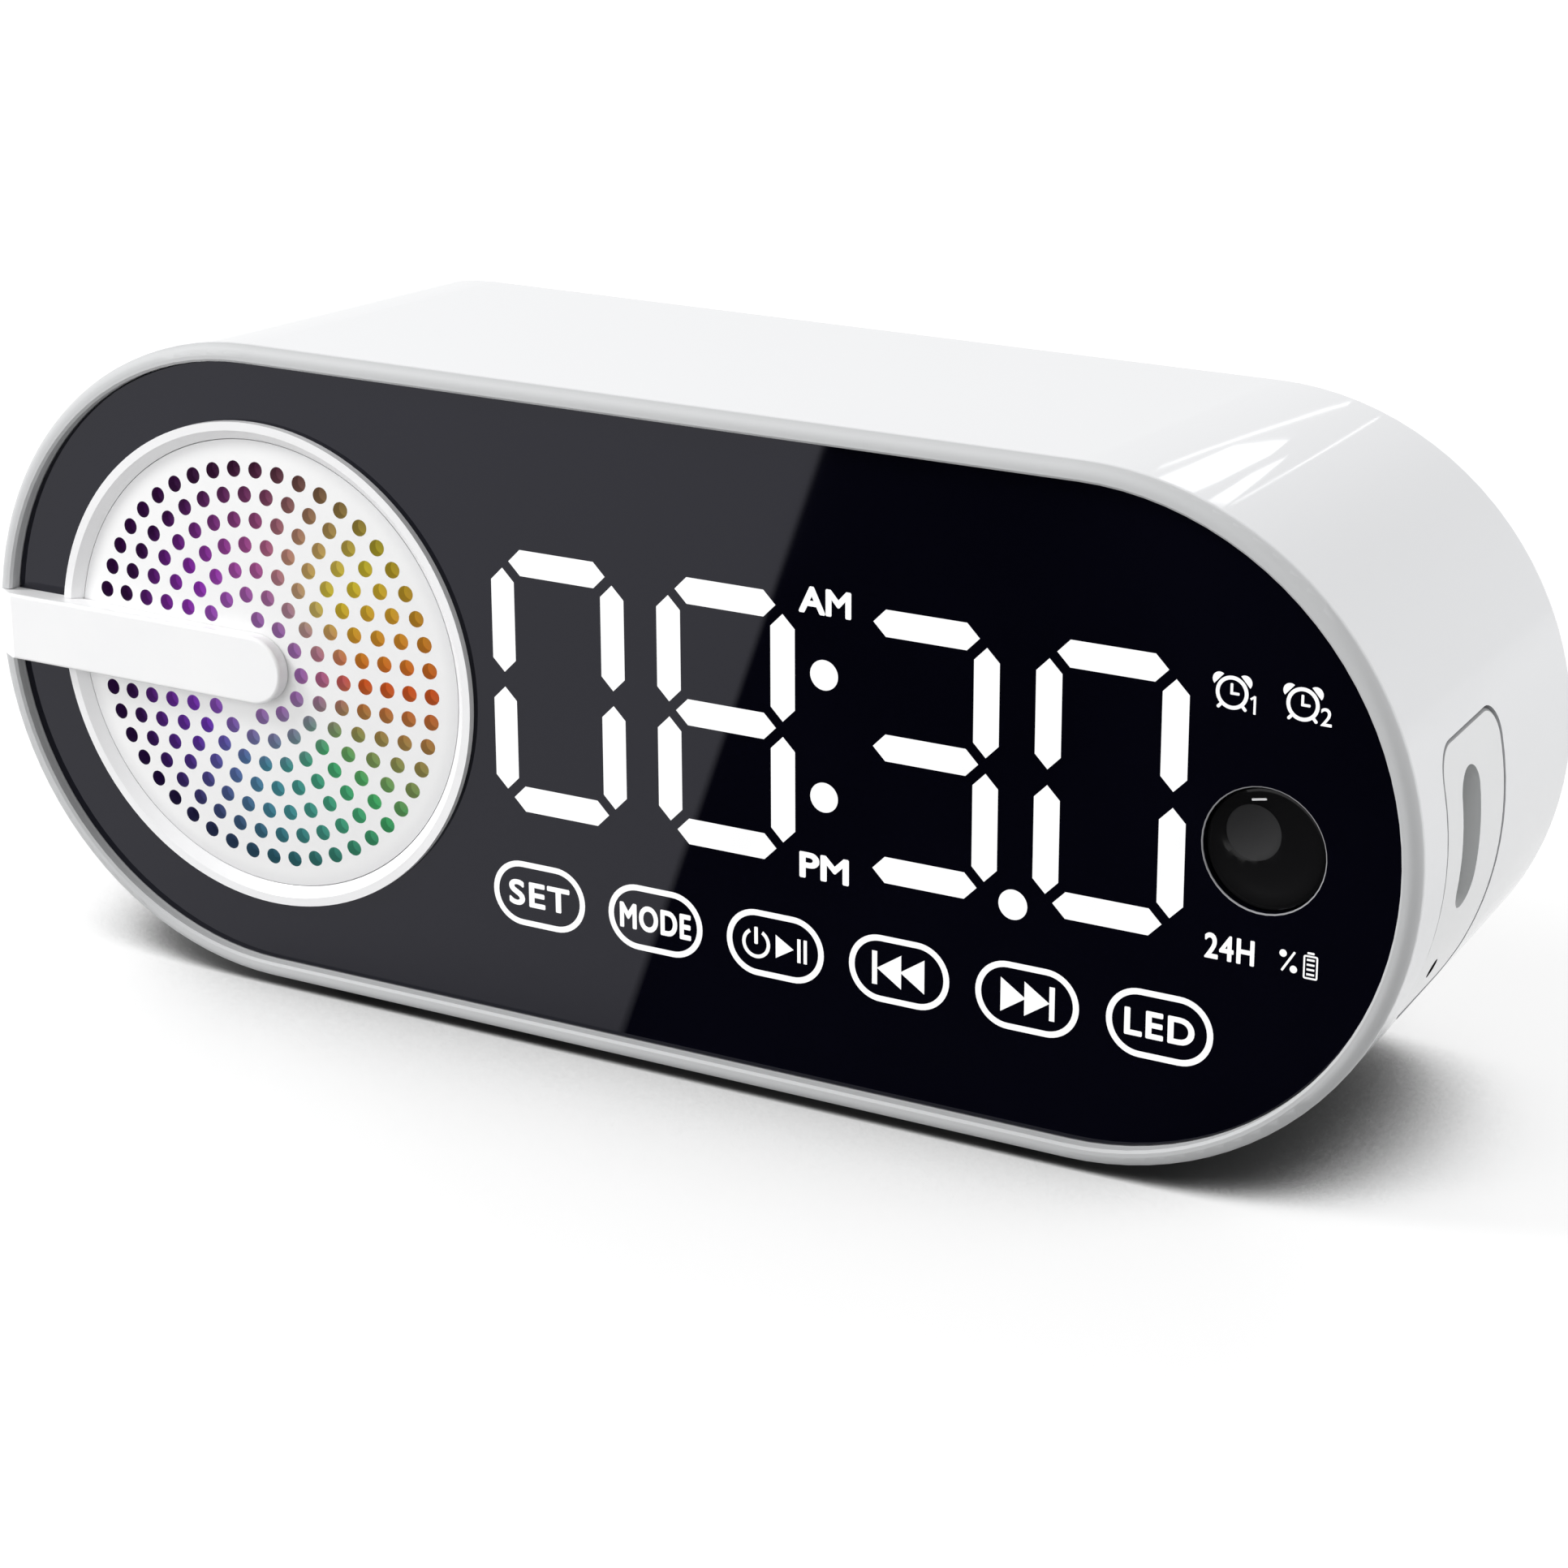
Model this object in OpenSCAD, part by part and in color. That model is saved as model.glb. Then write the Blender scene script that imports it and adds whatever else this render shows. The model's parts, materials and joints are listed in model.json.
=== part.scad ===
// Digital alarm clock with a round speaker, lit grille and jog knob.
// X runs to the right, Y from the front to the back, Z up; the floor is Z = 0.
// "Depth" is measured from the front plane of the rim towards the back.
// The body's width, height and depth follow from what it holds; see the Hidden section.

/* [Body] */
// Taper: how far the outline draws in on every side at the back
back_inset = 2.6; // [2:0.1:3]
// Wall thickness of the body
wall = 2.4; // [2.2:0.1:2.6]
// Width of the rim around the front panel
rim_w = 2.05; // [1.8:0.05:2.2]
// Radius of the rim's outer edge
rim_round = 1.3; // [0.8:0.1:1.6]
// Straight band behind the rim, before the taper starts
rim_band = 1.9; // [1.7:0.1:2.4]
// Radius of the body's back edge
back_round = 1.1; // [0.6:0.1:1.2]
// Gap under the front edge of the body
foot_drop = 1; // [0.8:0.1:2]
// Space between the sound chamber and the rear cover
rear_space = 11.7; // [11.2:0.1:16]

/* [Front panel] */
// Space between the speaker's ring and the rim
ring_margin = 7.6; // [7.2:0.1:9]
// Space between the speaker's ring and the first digit
speaker_room = 2.95; // [2.6:0.05:6]
// Space between the last digit and the knob's hole
knob_room = 1.95; // [1.7:0.05:4]
// Space between the knob's hole and the rim
knob_margin = 8.9; // [8.6:0.1:11]
// How deep the panel lies behind the rim
panel_recess = 1.5; // [1.2:0.1:2]
// Thickness of the panel
panel_t = 2.5; // [2:0.1:3]
// Thickness of the tape behind the panel
tape_t = 0.2; // [0.1:0.1:0.4]
// Height of the speaker, bar and knob above the body's middle
face_lift = 0.25; // [0:0.05:0.5]

/* [Speaker face] */
// How far the speaker's centre lies inside the middle of the round end
speaker_shift = 0.3; // [0:0.1:0.8]
// Radius of the bezel ring
ring_r = 30.35; // [28:0.05:33]
// How far the bezel ring stands out of the panel
ring_proud = 0.85; // [0.6:0.05:1.2]
// Width of the bezel ring's flat front
ring_w = 1.05; // [0.8:0.05:1.1]
// Rise of the grille's dome above the panel
dome_rise = 1.1; // [0.9:0.1:1.3]
// Radius of the sphere that the grille's dome is cut from
dome_ball = 300; // [280:10:400]
// Radius of one grille hole
hole_r = 1; // [0.8:0.05:1.1]
// Distance between two rings of grille holes
hole_pitch = 3.06; // [2.8:0.02:3.6]
// Thickness of the grille disc
grille_t = 1.2; // [1:0.1:1.5]

/* [Speaker] */
// Depth of the speaker's basket
basket_l = 12; // [11:0.5:15]
// Radius of the speaker's magnet
magnet_r = 18; // [16:0.5:20]
// Thickness of the speaker's magnet
magnet_t = 8; // [6:0.5:9]

/* [Arm bar] */
// Half the bar's height
bar_half = 4.25; // [4:0.05:4.5]
// How far the bar's front stands before the rim
bar_proud = 1.35; // [1.1:0.05:1.6]
// Height of the bar above the speaker's centre
bar_lift = 0.2; // [0:0.05:0.3]
// Length of the slope at the bar's left end
bar_slope_l = 2.8; // [2:0.1:3.4]
// Depth of that slope
bar_slope_d = 1.65; // [1.2:0.05:1.9]
// Radius of the bar's front edge
bar_round = 0.4; // [0.2:0.1:0.8]

/* [Knob] */
// Radius of the knob's hole in the panel
knob_hole_r = 7.05; // [6.5:0.05:8]
// Gap between the knob and its hole
knob_gap = 0.15; // [0.1:0.05:0.25]
// How deep the knob's edge lies behind the panel's front
knob_sink = 0.7; // [0.5:0.05:1]
// Thickness of the knob's disc
knob_t = 3.2; // [3:0.1:3.5]
// Radius of the finger dimple
dimple_r = 3.2; // [2.8:0.1:3.6]
// Radius of the knob's shaft
shaft_r = 3; // [2.5:0.1:3.1]

/* [Display] */
// Height of one digit, from the middle of its top bar to that of its bottom bar
digit_h = 28.85; // [26:0.05:31]
// Width of one digit, between the middles of its uprights
digit_w = 14.9; // [13:0.1:17]
// Thickness of a segment
seg_t = 3.2; // [2.8:0.1:3.6]
// Gap left at the point of a segment
seg_gap = 0.85; // [0.6:0.05:1]
// Space between the two digits of a pair
digit_gap = 4.3; // [3.5:0.1:6]
// Space between the two pairs, for the colon
colon_room = 7.4; // [6.6:0.1:10]
// Height of the digits' middle above the body's middle
digit_z = 4.15; // [3:0.05:5]
// Radius of the colon's dots and of the point
dot_r = 1.75; // [1.5:0.05:2]
// Distance from the digits' bottom bars down to the touch keys' middle
key_room = 11.975; // [11:0.025:13.5]

/* [Boards] */
// Thickness of the circuit boards
board_t = 1.6; // [1.2:0.1:1.6]
// Depth of the display reflector
reflector_t = 7.7; // [7.2:0.1:8]
// Space between the display board and the main board
board_space = 5.6; // [5.4:0.1:6]

/* [Port plate] */
// Width of the port plate along the body's depth
plate_w = 19.6; // [18.6:0.1:20]
// Top of the port plate above the body's middle
plate_top = 11.6; // [11:0.1:12]
// Bottom of the port plate below the body's middle
plate_low = 20.2; // [19:0.1:20.6]
// Length of the charging slot
slot_l = 16; // [14:0.5:16.5]
// Width of the charging slot
slot_w = 6; // [5.4:0.1:6.4]
// Radius of the pinhole for the microphone
pinhole_r = 1.1; // [0.6:0.1:1.2]

/* [Battery] */
// Radius of the battery cell
cell_r = 9.15; // [8.8:0.05:9.3]
// Length of the battery cell
cell_l = 65; // [60:0.5:66]

/* [Feet] */
// Radius of a foot
foot_r = 5; // [4:0.1:5.5]
// Distance of the feet from the body's middle
foot_x = 46; // [40:0.5:48]
// Distance of the feet from the body's front and back
foot_edge = 10; // [8:0.5:14]

/* [Hidden] */
$fn = 96;

// Common clearances and small values
over = 1;             // overrun of every cut
fit = 0.1;            // gap around a piece that is pushed into its place
shaft_gap = 0.05;     // running clearance of the knob's shaft
screw_gap = 0.02;     // gap between a screw and its pilot hole
small_fn = 24;
hole_fn = 16;

// Touch keys and display, as heights from the body's middle
spring_r = 2.6;
spring_t = 0.5;
spring_room = 0.65;
reflector_over = 2.62;
reflector_under = 3.12;
key_z = digit_h / 2 + key_room - digit_z;
reflector_top = digit_z + digit_h / 2 + seg_t / 2 + reflector_over;
reflector_low = digit_h / 2 + seg_t / 2 - digit_z + reflector_under;
window_low = key_z + spring_r + spring_room;

// The face is as high as the speaker or the display with its screw posts needs
room_over = 15.1;
room_under = 12.4;
rim_in = max(ring_r + ring_margin, reflector_top + room_over, window_low + room_under);
r_front = rim_in + rim_w;

// Stack of the front: panel, tape, ledge, frame, boards
rim_chamfer = 0.3;
panel_back = panel_recess + panel_t;
ledge_d0 = panel_back + tape_t;
ledge_w = 3.15;
ledge_r = rim_in - ledge_w;
ledge_t = 2;
frame_d0 = ledge_d0 + ledge_t;
frame_t = 2.2;
frame_d1 = frame_d0 + frame_t;
window_r = ledge_r - fit;
film_t = 0.3;
reflector_d0 = panel_back + film_t;
display_d0 = reflector_d0 + reflector_t;
display_d1 = display_d0 + board_t;
main_d0 = display_d1 + board_space;
main_d1 = main_d0 + board_t;

// Speaker face, each depth following on from the one before
ring_front = panel_recess - ring_proud;
slope_w = 1.2;
lip_r = ring_r - ring_w - slope_w;
dome_front = panel_recess - dome_rise;
dome_edge_gap = 0.1;
dome_r = lip_r - dome_edge_gap;
function dome_d(r) = dome_front + dome_ball - sqrt(dome_ball * dome_ball - r * r);
lip_d0 = dome_d(dome_r);
lip_t = 0.7;
lip_d1 = lip_d0 + lip_t;
collar_in = 0.58;
collar_r = ring_r - collar_in;
collar_wall = 1.1;
seat_r = collar_r - collar_wall;
grille_d1 = lip_d1 + grille_t;
dome_t = 1.2;
glow_film_t = 0.3;
glow_gap = 0.2;
glow_d1 = grille_d1 + glow_film_t;
retainer_t = 2.5;
retainer_w = 2;
retainer_d1 = glow_d1 + retainer_t;
ring_board_t = 1.2;
ring_board_w = 5;
ring_board_d1 = retainer_d1 + ring_board_t;
collar_d1 = retainer_d1 + ring_board_t / 2;
hook_n = 4;
hook_w = 5;
hook_over = 0.4;
hook_t = 1;
hook_wall = 0.8;
hook_gap = 0.1;
lamp_n = 12;
lamp_size = 2;
lamp_t = 1;

// As many rings of holes as the dome has room for, but none under the bar
hole_edge = 2.4;
hole_rings = floor((dome_r - hole_edge - hole_r) / hole_pitch);
hole_clear = bar_half + 1.3 * hole_r;

// Speaker, from its flange to the back of its magnet
basket_in = 1.1;
basket_r = seat_r - basket_in;
basket_gap = 1.3;
basket_t = 1.2;
gasket_t = 0.3;
gasket_w = 2.97;
basket_d0 = ring_board_d1 + basket_gap;
basket_d1 = basket_d0 + basket_t;
basket_hole_r = basket_r - gasket_w;
basket_step = 0.8;
basket_neck_r = basket_hole_r - basket_step;
basket_foot_in = 1;
basket_foot_r = magnet_r - basket_foot_in;
basket_wall = 1;
basket_back = basket_d0 + basket_l;
basket_bore_r = 9;
top_plate_t = 3;
top_plate_r = basket_foot_r;
gap_r = 7.6;
magnet_bore_r = 9.5;
yoke_t = 3;
pole_r = 5.8;
top_d1 = basket_back + top_plate_t;
magnet_d1 = top_d1 + magnet_t;
speaker_screw_in = 1.97;
speaker_screw_place = basket_r - speaker_screw_in;
speaker_screw_r = 0.9;
speaker_screw_l = 5;
speaker_head_r = 1.4;
speaker_head_t = 1;
speaker_boss_r = 2;
speaker_boss_l = 4;
surround_in = 1.8;
surround_r = basket_neck_r - surround_in;
surround_tube = 1.4;
surround_t = 0.4;
surround_flat = 0.9;
cone_t = 0.5;
cone_r = surround_r - surround_tube;
cone_neck_r = 7.2;
cone_rise = 5;
cone_l = basket_l - cone_rise;
cap_ball = 9;
cap_t = 0.4;
coil_r = 7;
coil_t = 0.6;
coil_l = 8;

// Sound chamber round the speaker
chamber_wall = 1.6;
chamber_gap = 5.3;
chamber_side = 0.65;
chamber_plate_t = 2;
chamber_back_gap = 3.4;
chamber_plate_d0 = basket_d1 + gasket_t;
chamber_plate_d1 = chamber_plate_d0 + chamber_plate_t;
chamber_d1 = magnet_d1 + yoke_t + chamber_back_gap + chamber_wall;
chamber_collar_w = basket_in - 3 * fit;
chamber_ear_r = 2.3;
chamber_ear_l = 6.6;
chamber_ear_out = 0.3;
chamber_ear_angle = 30;
chamber_post_r = 2.1;
chamber_post_in = 3;
chamber_screw_r = 1;
chamber_screw_l = 5;
chamber_head_r = 1.9;
chamber_head_t = 1.2;

// Rear cover and the depth of the body
cover_t = 2.4;
cover_sink = 0.6;
cover_d0 = chamber_d1 + rear_space;
cover_d1 = cover_d0 + cover_t;
body_d = cover_d1 + cover_sink;

// Width and height of the body
digit_full = digit_w + seg_t;
speaker_in = r_front + speaker_shift;
knob_in = rim_w + knob_margin + knob_hole_r;
digits_l = 4 * digit_full + 2 * digit_gap + colon_room;
body_w = speaker_in + ring_r + speaker_room + digits_l + knob_room + knob_hole_r + knob_in;
body_h = 2 * r_front;
span = body_w / 2 - r_front;
front_y = -(body_d - bar_proud) / 2;
mid_z = foot_drop + r_front;
function r_out(d) = r_front - back_inset * max(0, d - rim_band) / (body_d - rim_band);
function r_in(d) = r_out(d) - wall;

// Places along the front, measured from the body's middle
speaker_x = body_w / 2 - speaker_in;
knob_x = body_w / 2 - knob_in;
digit_x = speaker_x - ring_r - speaker_room - digit_full / 2;
digit_pitch = digit_full + digit_gap;
pair_pitch = digit_pitch + digit_full + colon_room;
key_n = 6;
key_out_left = 3.45;
key_out_right = 6.65;
key_x = digit_x + key_out_left;
key_pitch = (pair_pitch + digit_pitch + key_out_left + key_out_right) / (key_n - 1);

// Screws of the frame, in blind bosses of the ledge
frame_gap = 0.35;
frame_r = r_in(frame_d1) - frame_gap;
frame_boss_r = 1.9;
frame_boss_h = 2;
frame_boss_in = 0.2;
frame_boss_place = ledge_r - frame_boss_in;
frame_boss_angle = 60;
frame_screw_r = 0.9;
frame_pilot_l = 3.4;
frame_head_r = 2.4;
frame_head_t = 1.3;

// Edge of the rear cover, its screws and its slots
cover_lip = 1.7;
cover_r = r_out(body_d) - cover_lip;
cover_boss_r = 2.6;
cover_boss_l = 10;
cover_boss_inset = 2.95;
cover_boss_place = r_in(cover_d0) - cover_boss_inset;
cover_boss_angle = 50;
cover_rib_t = 2;
cover_screw_r = 1.2;
cover_head_r = 2.2;
cover_head_t = 1.2;
cover_screw_l = 8;
vent_n = 7;
vent_l = 28;
vent_w = 1.6;
vent_pitch = 4;

// Feet
foot_sink = 1.2;
foot_front_d = foot_edge;
foot_rear_d = body_d - foot_edge;
foot_chamfer = 0.5;

// Arm bar
bar_front = -bar_proud;
bar_end_inset = 0.55;
bar_z = face_lift + bar_lift;
bar_left = body_w / 2 - bar_end_inset;
bar_peg_r = 1.3;
bar_peg_in = 4.55;
bar_peg_place = bar_left - bar_peg_in;
bar_peg_head_r = 1.9;
bar_peg_head_t = 0.9;
bar_pin_r = 1.6;
bar_pin_head_r = 2.6;
bar_pin_head_t = 0.8;

// Edges of the sound chamber
chamber_r = r_in(frame_d1) - chamber_gap;
chamber_right = speaker_x - ring_r - chamber_side;

// Knob and encoder
knob_r = knob_hole_r - knob_gap;
knob_d0 = panel_recess + knob_sink;
knob_chamfer = 0.2;
knob_edge = 0.7;
knob_dish_r = knob_r - knob_edge;
knob_dish_t = 0.5;
knob_dish_ball = (knob_dish_r * knob_dish_r + knob_dish_t * knob_dish_t) / (2 * knob_dish_t);
dimple_t = 0.5;
dimple_ball = (dimple_r * dimple_r + dimple_t * dimple_t) / (2 * dimple_t);
dimple_edge = 0.8;
dimple_place = knob_dish_r - dimple_r - dimple_edge;
dimple_angle = 139;
hub_wall = 1.6;
hub_r = shaft_r + hub_wall;
hub_gap = 0.2;
shaft_skin = 1.6;
shaft_flat = 0.5;
bush_t = 0.5;
bush_l = 4.2;
encoder_w = 10.6;
encoder_h = 12.2;
encoder_l = 6.4;
encoder_skin = 0.6;
encoder_d0 = main_d0 - encoder_l;
bush_d0 = encoder_d0 - bush_l;
hub_d1 = bush_d0 - hub_gap;
shaft_d0 = knob_d0 + shaft_skin;
shaft_d1 = main_d0 - encoder_skin;
well_edge = 1.4;
well_r = knob_hole_r + well_edge;
board_hole_edge = 0.55;
board_hole_r = well_r + board_hole_edge;

// Display
reflector_side = 1.83;
reflector_out = 7.5;
reflector_left = speaker_x - collar_r - reflector_side;
reflector_right = knob_x + reflector_out;
film_margin = 0.4;
window_gap = 0.3;
display_margin = 1.4;
display_r = window_r - display_margin;
display_in = 0.2;
display_left = reflector_left - display_in;
display_top_in = 5.4;
display_low_in = 2;
display_top = display_r - display_top_in;
display_low = display_r - display_low_in;
display_post_r = 2;
display_screw_r = 0.8;
display_screw_l = 3.4;
display_head_r = 1.6;
display_head_t = 1;
post_left_in = 2.9;
post_top_in = 2.3;
post_low_in = 2.7;
post_top_x = knob_x - 1.5 * knob_hole_r;
post_low_x = knob_x - 1.8 * knob_hole_r;
display_posts = [
    [post_left_in - display_left, display_top - post_top_in], [post_top_x, display_top - post_top_in],
    [post_left_in - display_left, post_low_in - display_low], [post_low_x, post_low_in - display_low]
];
seg_lamp_l = 3;
seg_lamp_w = 1.4;
seg_lamp_t = 1;
mark_w = 6;
mark_h = 3.6;
mark_left = 3.5;
mark_right = 3.9;
alarm_drop = 1.2;
label_drop = 1.25;
alarm_z = digit_z + digit_h / 2 - alarm_drop;
label_z = digit_z - digit_h / 2 - label_drop;
marks = [
    [knob_x - mark_left, alarm_z], [knob_x + mark_right, alarm_z],
    [knob_x - mark_left, label_z], [knob_x + mark_right, label_z]
];
colon_x = digit_pitch + (pair_pitch - digit_pitch) / 2 - digit_x;
half_mark_w = 6.6;
half_mark_h = 3.1;
half_mark_out = 1.25;

// Main board
main_margin = 1.7;
main_in = 9.2;
main_left = chamber_right - main_in;
main_r = r_in(main_d1) - main_margin;
main_post_r = 2.75;
main_post_in = 3.5;
main_post_gap = 0.35;
main_post_left = 8;
main_post_right = 18.5;
main_post_x = [main_post_left - main_left, knob_x - main_post_right];
frame_mid_gap = 6;
frame_mid_x = main_post_x[0] + frame_mid_gap;
main_post_z = main_r - main_post_in;
main_screw_r = 1;
main_screw_l = 6;
main_head_r = 2;
main_head_t = 1.3;
header_l = 25.4;
header_w = 2.5;
header_place = 44;
header_x = header_place - main_left;
header_z = 20;
usb_w = 9;
usb_h = 3.2;
usb_l = 6.2;
usb_wall = 0.35;
usb_tongue_t = 0.7;
usb_tongue_back = 1.2;
usb_d = main_d0 - usb_h / 2;
usb_z = -0.3;
usb_x = span + main_r;

// Parts on the back of the main board
amp_w = 7;
chip_t = 1.4;
coil_w = 5;
coil_h = 3;
can_r = 3.1;
can_h = 7;
chip_gap = 9;
radio_w = 18;
radio_h = 13;
radio_t = 0.8;
radio_can_t = 1.6;
radio_edge = 2;

// Port plate
plate_back = 1.5;
plate_d = usb_d + plate_back;
plate_round = 4;
plate_t = 1.15;
plate_sink = 0.35;
plate_ledge = 1.4;
plate_gap = 0.3;
plate_glue = 0.05;
slot_collar_t = 1.1;
slot_collar_gap = 0.35;
pinhole_front = 1.6;
pinhole_d = usb_d - pinhole_front;
pinhole_z = -15.3;
mic_r = 2;
mic_t = 1.6;

// Battery, midway between the sound chamber and the right wall
cradle_end = 1.5;
cradle_floor = 2;
cradle_side = 1.4;
cradle_grip = 1.75;
cell_gap = 0.1;
cradle_h = cradle_floor + cell_gap + cell_r + cradle_grip;
cell_x = (body_w / 2 - wall - chamber_right) / 2;
cell_z = -12;
cell_d = cover_d0 - cradle_floor - cell_r - cell_gap;
cap_tip_r = 3;
cap_tip_l = 1;

// A flat outline, drawn as seen from the front, thickened from one depth to another
module slab(d0, d1) {
    translate([0, front_y + d1, mid_z]) rotate([90, 0, 0]) linear_extrude(d1 - d0) children();
}

// A profile of radius and depth, turned about an axis along Y at a place on the front
module turned(x, z) {
    translate([x, front_y, mid_z + z]) rotate([-90, 0, 0]) rotate_extrude() children();
}

// A rod along Y
module rod(x, z, r, d0, d1, n = small_fn) {
    translate([x, front_y + d0, mid_z + z]) rotate([-90, 0, 0]) cylinder(h = d1 - d0, r = r, $fn = n);
}

// A box given by its middle on the front and its depths
module block(x, z, w, h, d0, d1) {
    translate([x - w / 2, front_y + d0, mid_z + z - h / 2]) cube([w, d1 - d0, h]);
}

// A profile of radius and depth, swept round the body's oval outline
module oval_sweep() {
    for (side = [-1, 1]) {
        translate([side * span, front_y, mid_z])
            rotate([-90, 0, 0]) rotate([0, 0, -90 * side]) rotate_extrude(angle = 180) children();
        translate([0, front_y, mid_z])
            rotate([0, -90 * side, 0]) linear_extrude(2 * span, center = true) children();
    }
}

module end_sweep() {
    translate([span, front_y, mid_z])
        rotate([-90, 0, 0]) rotate([0, 0, -90]) rotate_extrude(angle = 180) children();
}

module oval_block(r, d0, d1) {
    oval_sweep() translate([0, d0]) square([r, d1 - d0]);
}

module oval_ring(r0, r1, d0, d1) {
    oval_sweep() translate([r0, d0]) square([r1 - r0, d1 - d0]);
}

// Places at the round ends, at one angle up and down on the left and on the right
function end_place(r, angle, side, up) = [side * (span + r * cos(angle)), up * r * sin(angle)];

function frame_places() = concat(
    [for (side = [-1, 1], up = [-1, 1]) end_place(frame_boss_place, frame_boss_angle, side, up)],
    [for (up = [-1, 1]) [frame_mid_x, up * frame_boss_place]]
);

function main_places() = [for (x = main_post_x, up = [-1, 1]) [x, up * main_post_z]];

function chamber_ears() = [
    for (up = [-1, 1]) end_place(chamber_r - chamber_ear_out, chamber_ear_angle, -1, up)
];

function chamber_posts() = [
    for (up = [-1, 1]) [-chamber_right - chamber_post_in - chamber_wall, up * (chamber_r - chamber_post_in)]
];

// Rim, tapered wall and the ledges that carry the panel and the rear cover
module shell_profile() {
    difference() {
        polygon([
            [rim_in, 0], [r_front, 0], [r_front, rim_band], [r_out(body_d), body_d],
            [cover_r, body_d], [cover_r, cover_d0], [r_in(cover_d0), cover_d0],
            [r_in(frame_d0), frame_d0], [ledge_r, frame_d0], [ledge_r, ledge_d0], [rim_in, ledge_d0]
        ]);
        translate([r_front - rim_round, rim_round]) mirror([0, 1]) corner_cut(rim_round);
        translate([r_out(body_d - back_round) - back_round, body_d - back_round]) corner_cut(back_round);
        polygon([
            [rim_in - over, -over], [rim_in + rim_chamfer + over, -over], [rim_in - over, rim_chamfer + over]
        ]);
    }
}

// What is left outside a quarter circle, for rounding the corner of a profile
module corner_cut(r) {
    difference() {
        square([r + over, r + over]);
        circle(r);
    }
}

// The wall on the right end between two depths below its outer face
module wall_skin(low, high) {
    d0 = plate_d - plate_w;
    d1 = plate_d + plate_w;
    end_sweep() polygon([
        [r_out(d0) - low, d0], [r_out(d1) - low, d1], [r_out(d1) - high, d1], [r_out(d0) - high, d0]
    ]);
}

// The port plate's outline, as a bar running out to the right
module port_form(grow) {
    w = plate_w / 2 + grow - plate_round;
    top = plate_top + grow - plate_round;
    low = -plate_low - grow + plate_round;
    translate([span, front_y + plate_d, mid_z]) rotate([90, 0, 90]) linear_extrude(r_front) {
        for (side = [-1, 1]) {
            translate([side * w, top]) circle(plate_round, $fn = small_fn);
            translate([side * w, low]) circle(plate_round, $fn = small_fn);
        }
        translate([-w, low - plate_round]) square([2 * w, top - low + 2 * plate_round]);
        translate([-w - plate_round, low]) square([2 * (w + plate_round), top - low]);
    }
}

// The charging slot, running out to the right from a place beside the socket's mouth
module slot_form(grow, start) {
    straight = slot_l / 2 - slot_w / 2;
    r = slot_w / 2 + grow;
    translate([usb_x + start, front_y + usb_d, mid_z + usb_z]) rotate([90, 0, 90]) linear_extrude(r_front) {
        for (up = [-1, 1]) translate([0, up * straight]) circle(r, $fn = small_fn);
        translate([-r, -straight]) square([2 * r, 2 * straight]);
    }
}

module cover_boss(place, turn) {
    translate([place[0], front_y + cover_d0, mid_z + place[1]]) rotate([90, 0, 0]) {
        cylinder(h = cover_boss_l, r = cover_boss_r, $fn = small_fn);
        rotate([0, 0, turn]) translate([0, -cover_rib_t / 2, 0])
            cube([cover_boss_r + cover_boss_inset - wall / 2, cover_rib_t, cover_boss_l]);
    }
}

function cover_places() = concat(
    [for (side = [-1, 1], up = [-1, 1]) end_place(cover_boss_place, cover_boss_angle, side, up)],
    [for (up = [-1, 1]) [0, up * cover_boss_place]]
);

function cover_turns() = concat(
    [for (side = [-1, 1], up = [-1, 1]) side > 0 ? up * cover_boss_angle : 180 - up * cover_boss_angle],
    [for (up = [-1, 1]) up * 90]
);

module body_shell() {
    color("#f2f2f2") difference() {
        union() {
            oval_sweep() shell_profile();
            for (p = frame_places())
                rod(p[0], p[1], frame_boss_r, ledge_d0, frame_d0 + frame_boss_h);
            for (i = [0 : len(cover_places()) - 1]) cover_boss(cover_places()[i], cover_turns()[i]);
        }
        for (p = frame_places())
            rod(p[0], p[1], frame_screw_r + screw_gap, frame_d0 + frame_boss_h - frame_pilot_l, frame_d1 + over);
        for (p = cover_places())
            rod(p[0], p[1], cover_screw_r + screw_gap, cover_d1 - cover_screw_l - over, cover_d0 + over);
        // place for the bar across the rim, and the hole for its peg
        block(-bar_left, bar_z, 2 * (rim_w + over), 2 * (bar_half + fit), -over, panel_recess);
        rod(-bar_peg_place, bar_z, bar_peg_r + fit, panel_back - over, frame_d1 + over);
        // pocket and window for the port plate
        intersection() {
            wall_skin(-over, plate_sink + plate_t + plate_glue);
            port_form(plate_gap);
        }
        port_form(-plate_ledge);
        for (side = [-1, 1], d = [foot_front_d, foot_rear_d]) foot_pocket(side, d);
    }
}

module foot_pocket(side, d) {
    translate([side * foot_x, front_y + d, -over])
        cylinder(h = over + mid_z - r_out(d) + foot_sink, r = foot_r + fit);
}

module foot(side, d) {
    h = mid_z - r_out(d) + foot_sink;
    translate([side * foot_x, front_y + d, 0]) {
        cylinder(h = foot_chamfer, r1 = foot_r - foot_chamfer, r2 = foot_r);
        translate([0, 0, foot_chamfer]) cylinder(h = h - foot_chamfer, r = foot_r);
    }
}

module foot_front_left() { color("#3a3a3c") foot(-1, foot_front_d); }
module foot_front_right() { color("#3a3a3c") foot(1, foot_front_d); }
module foot_rear_left() { color("#3a3a3c") foot(-1, foot_rear_d); }
module foot_rear_right() { color("#3a3a3c") foot(1, foot_rear_d); }

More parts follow.
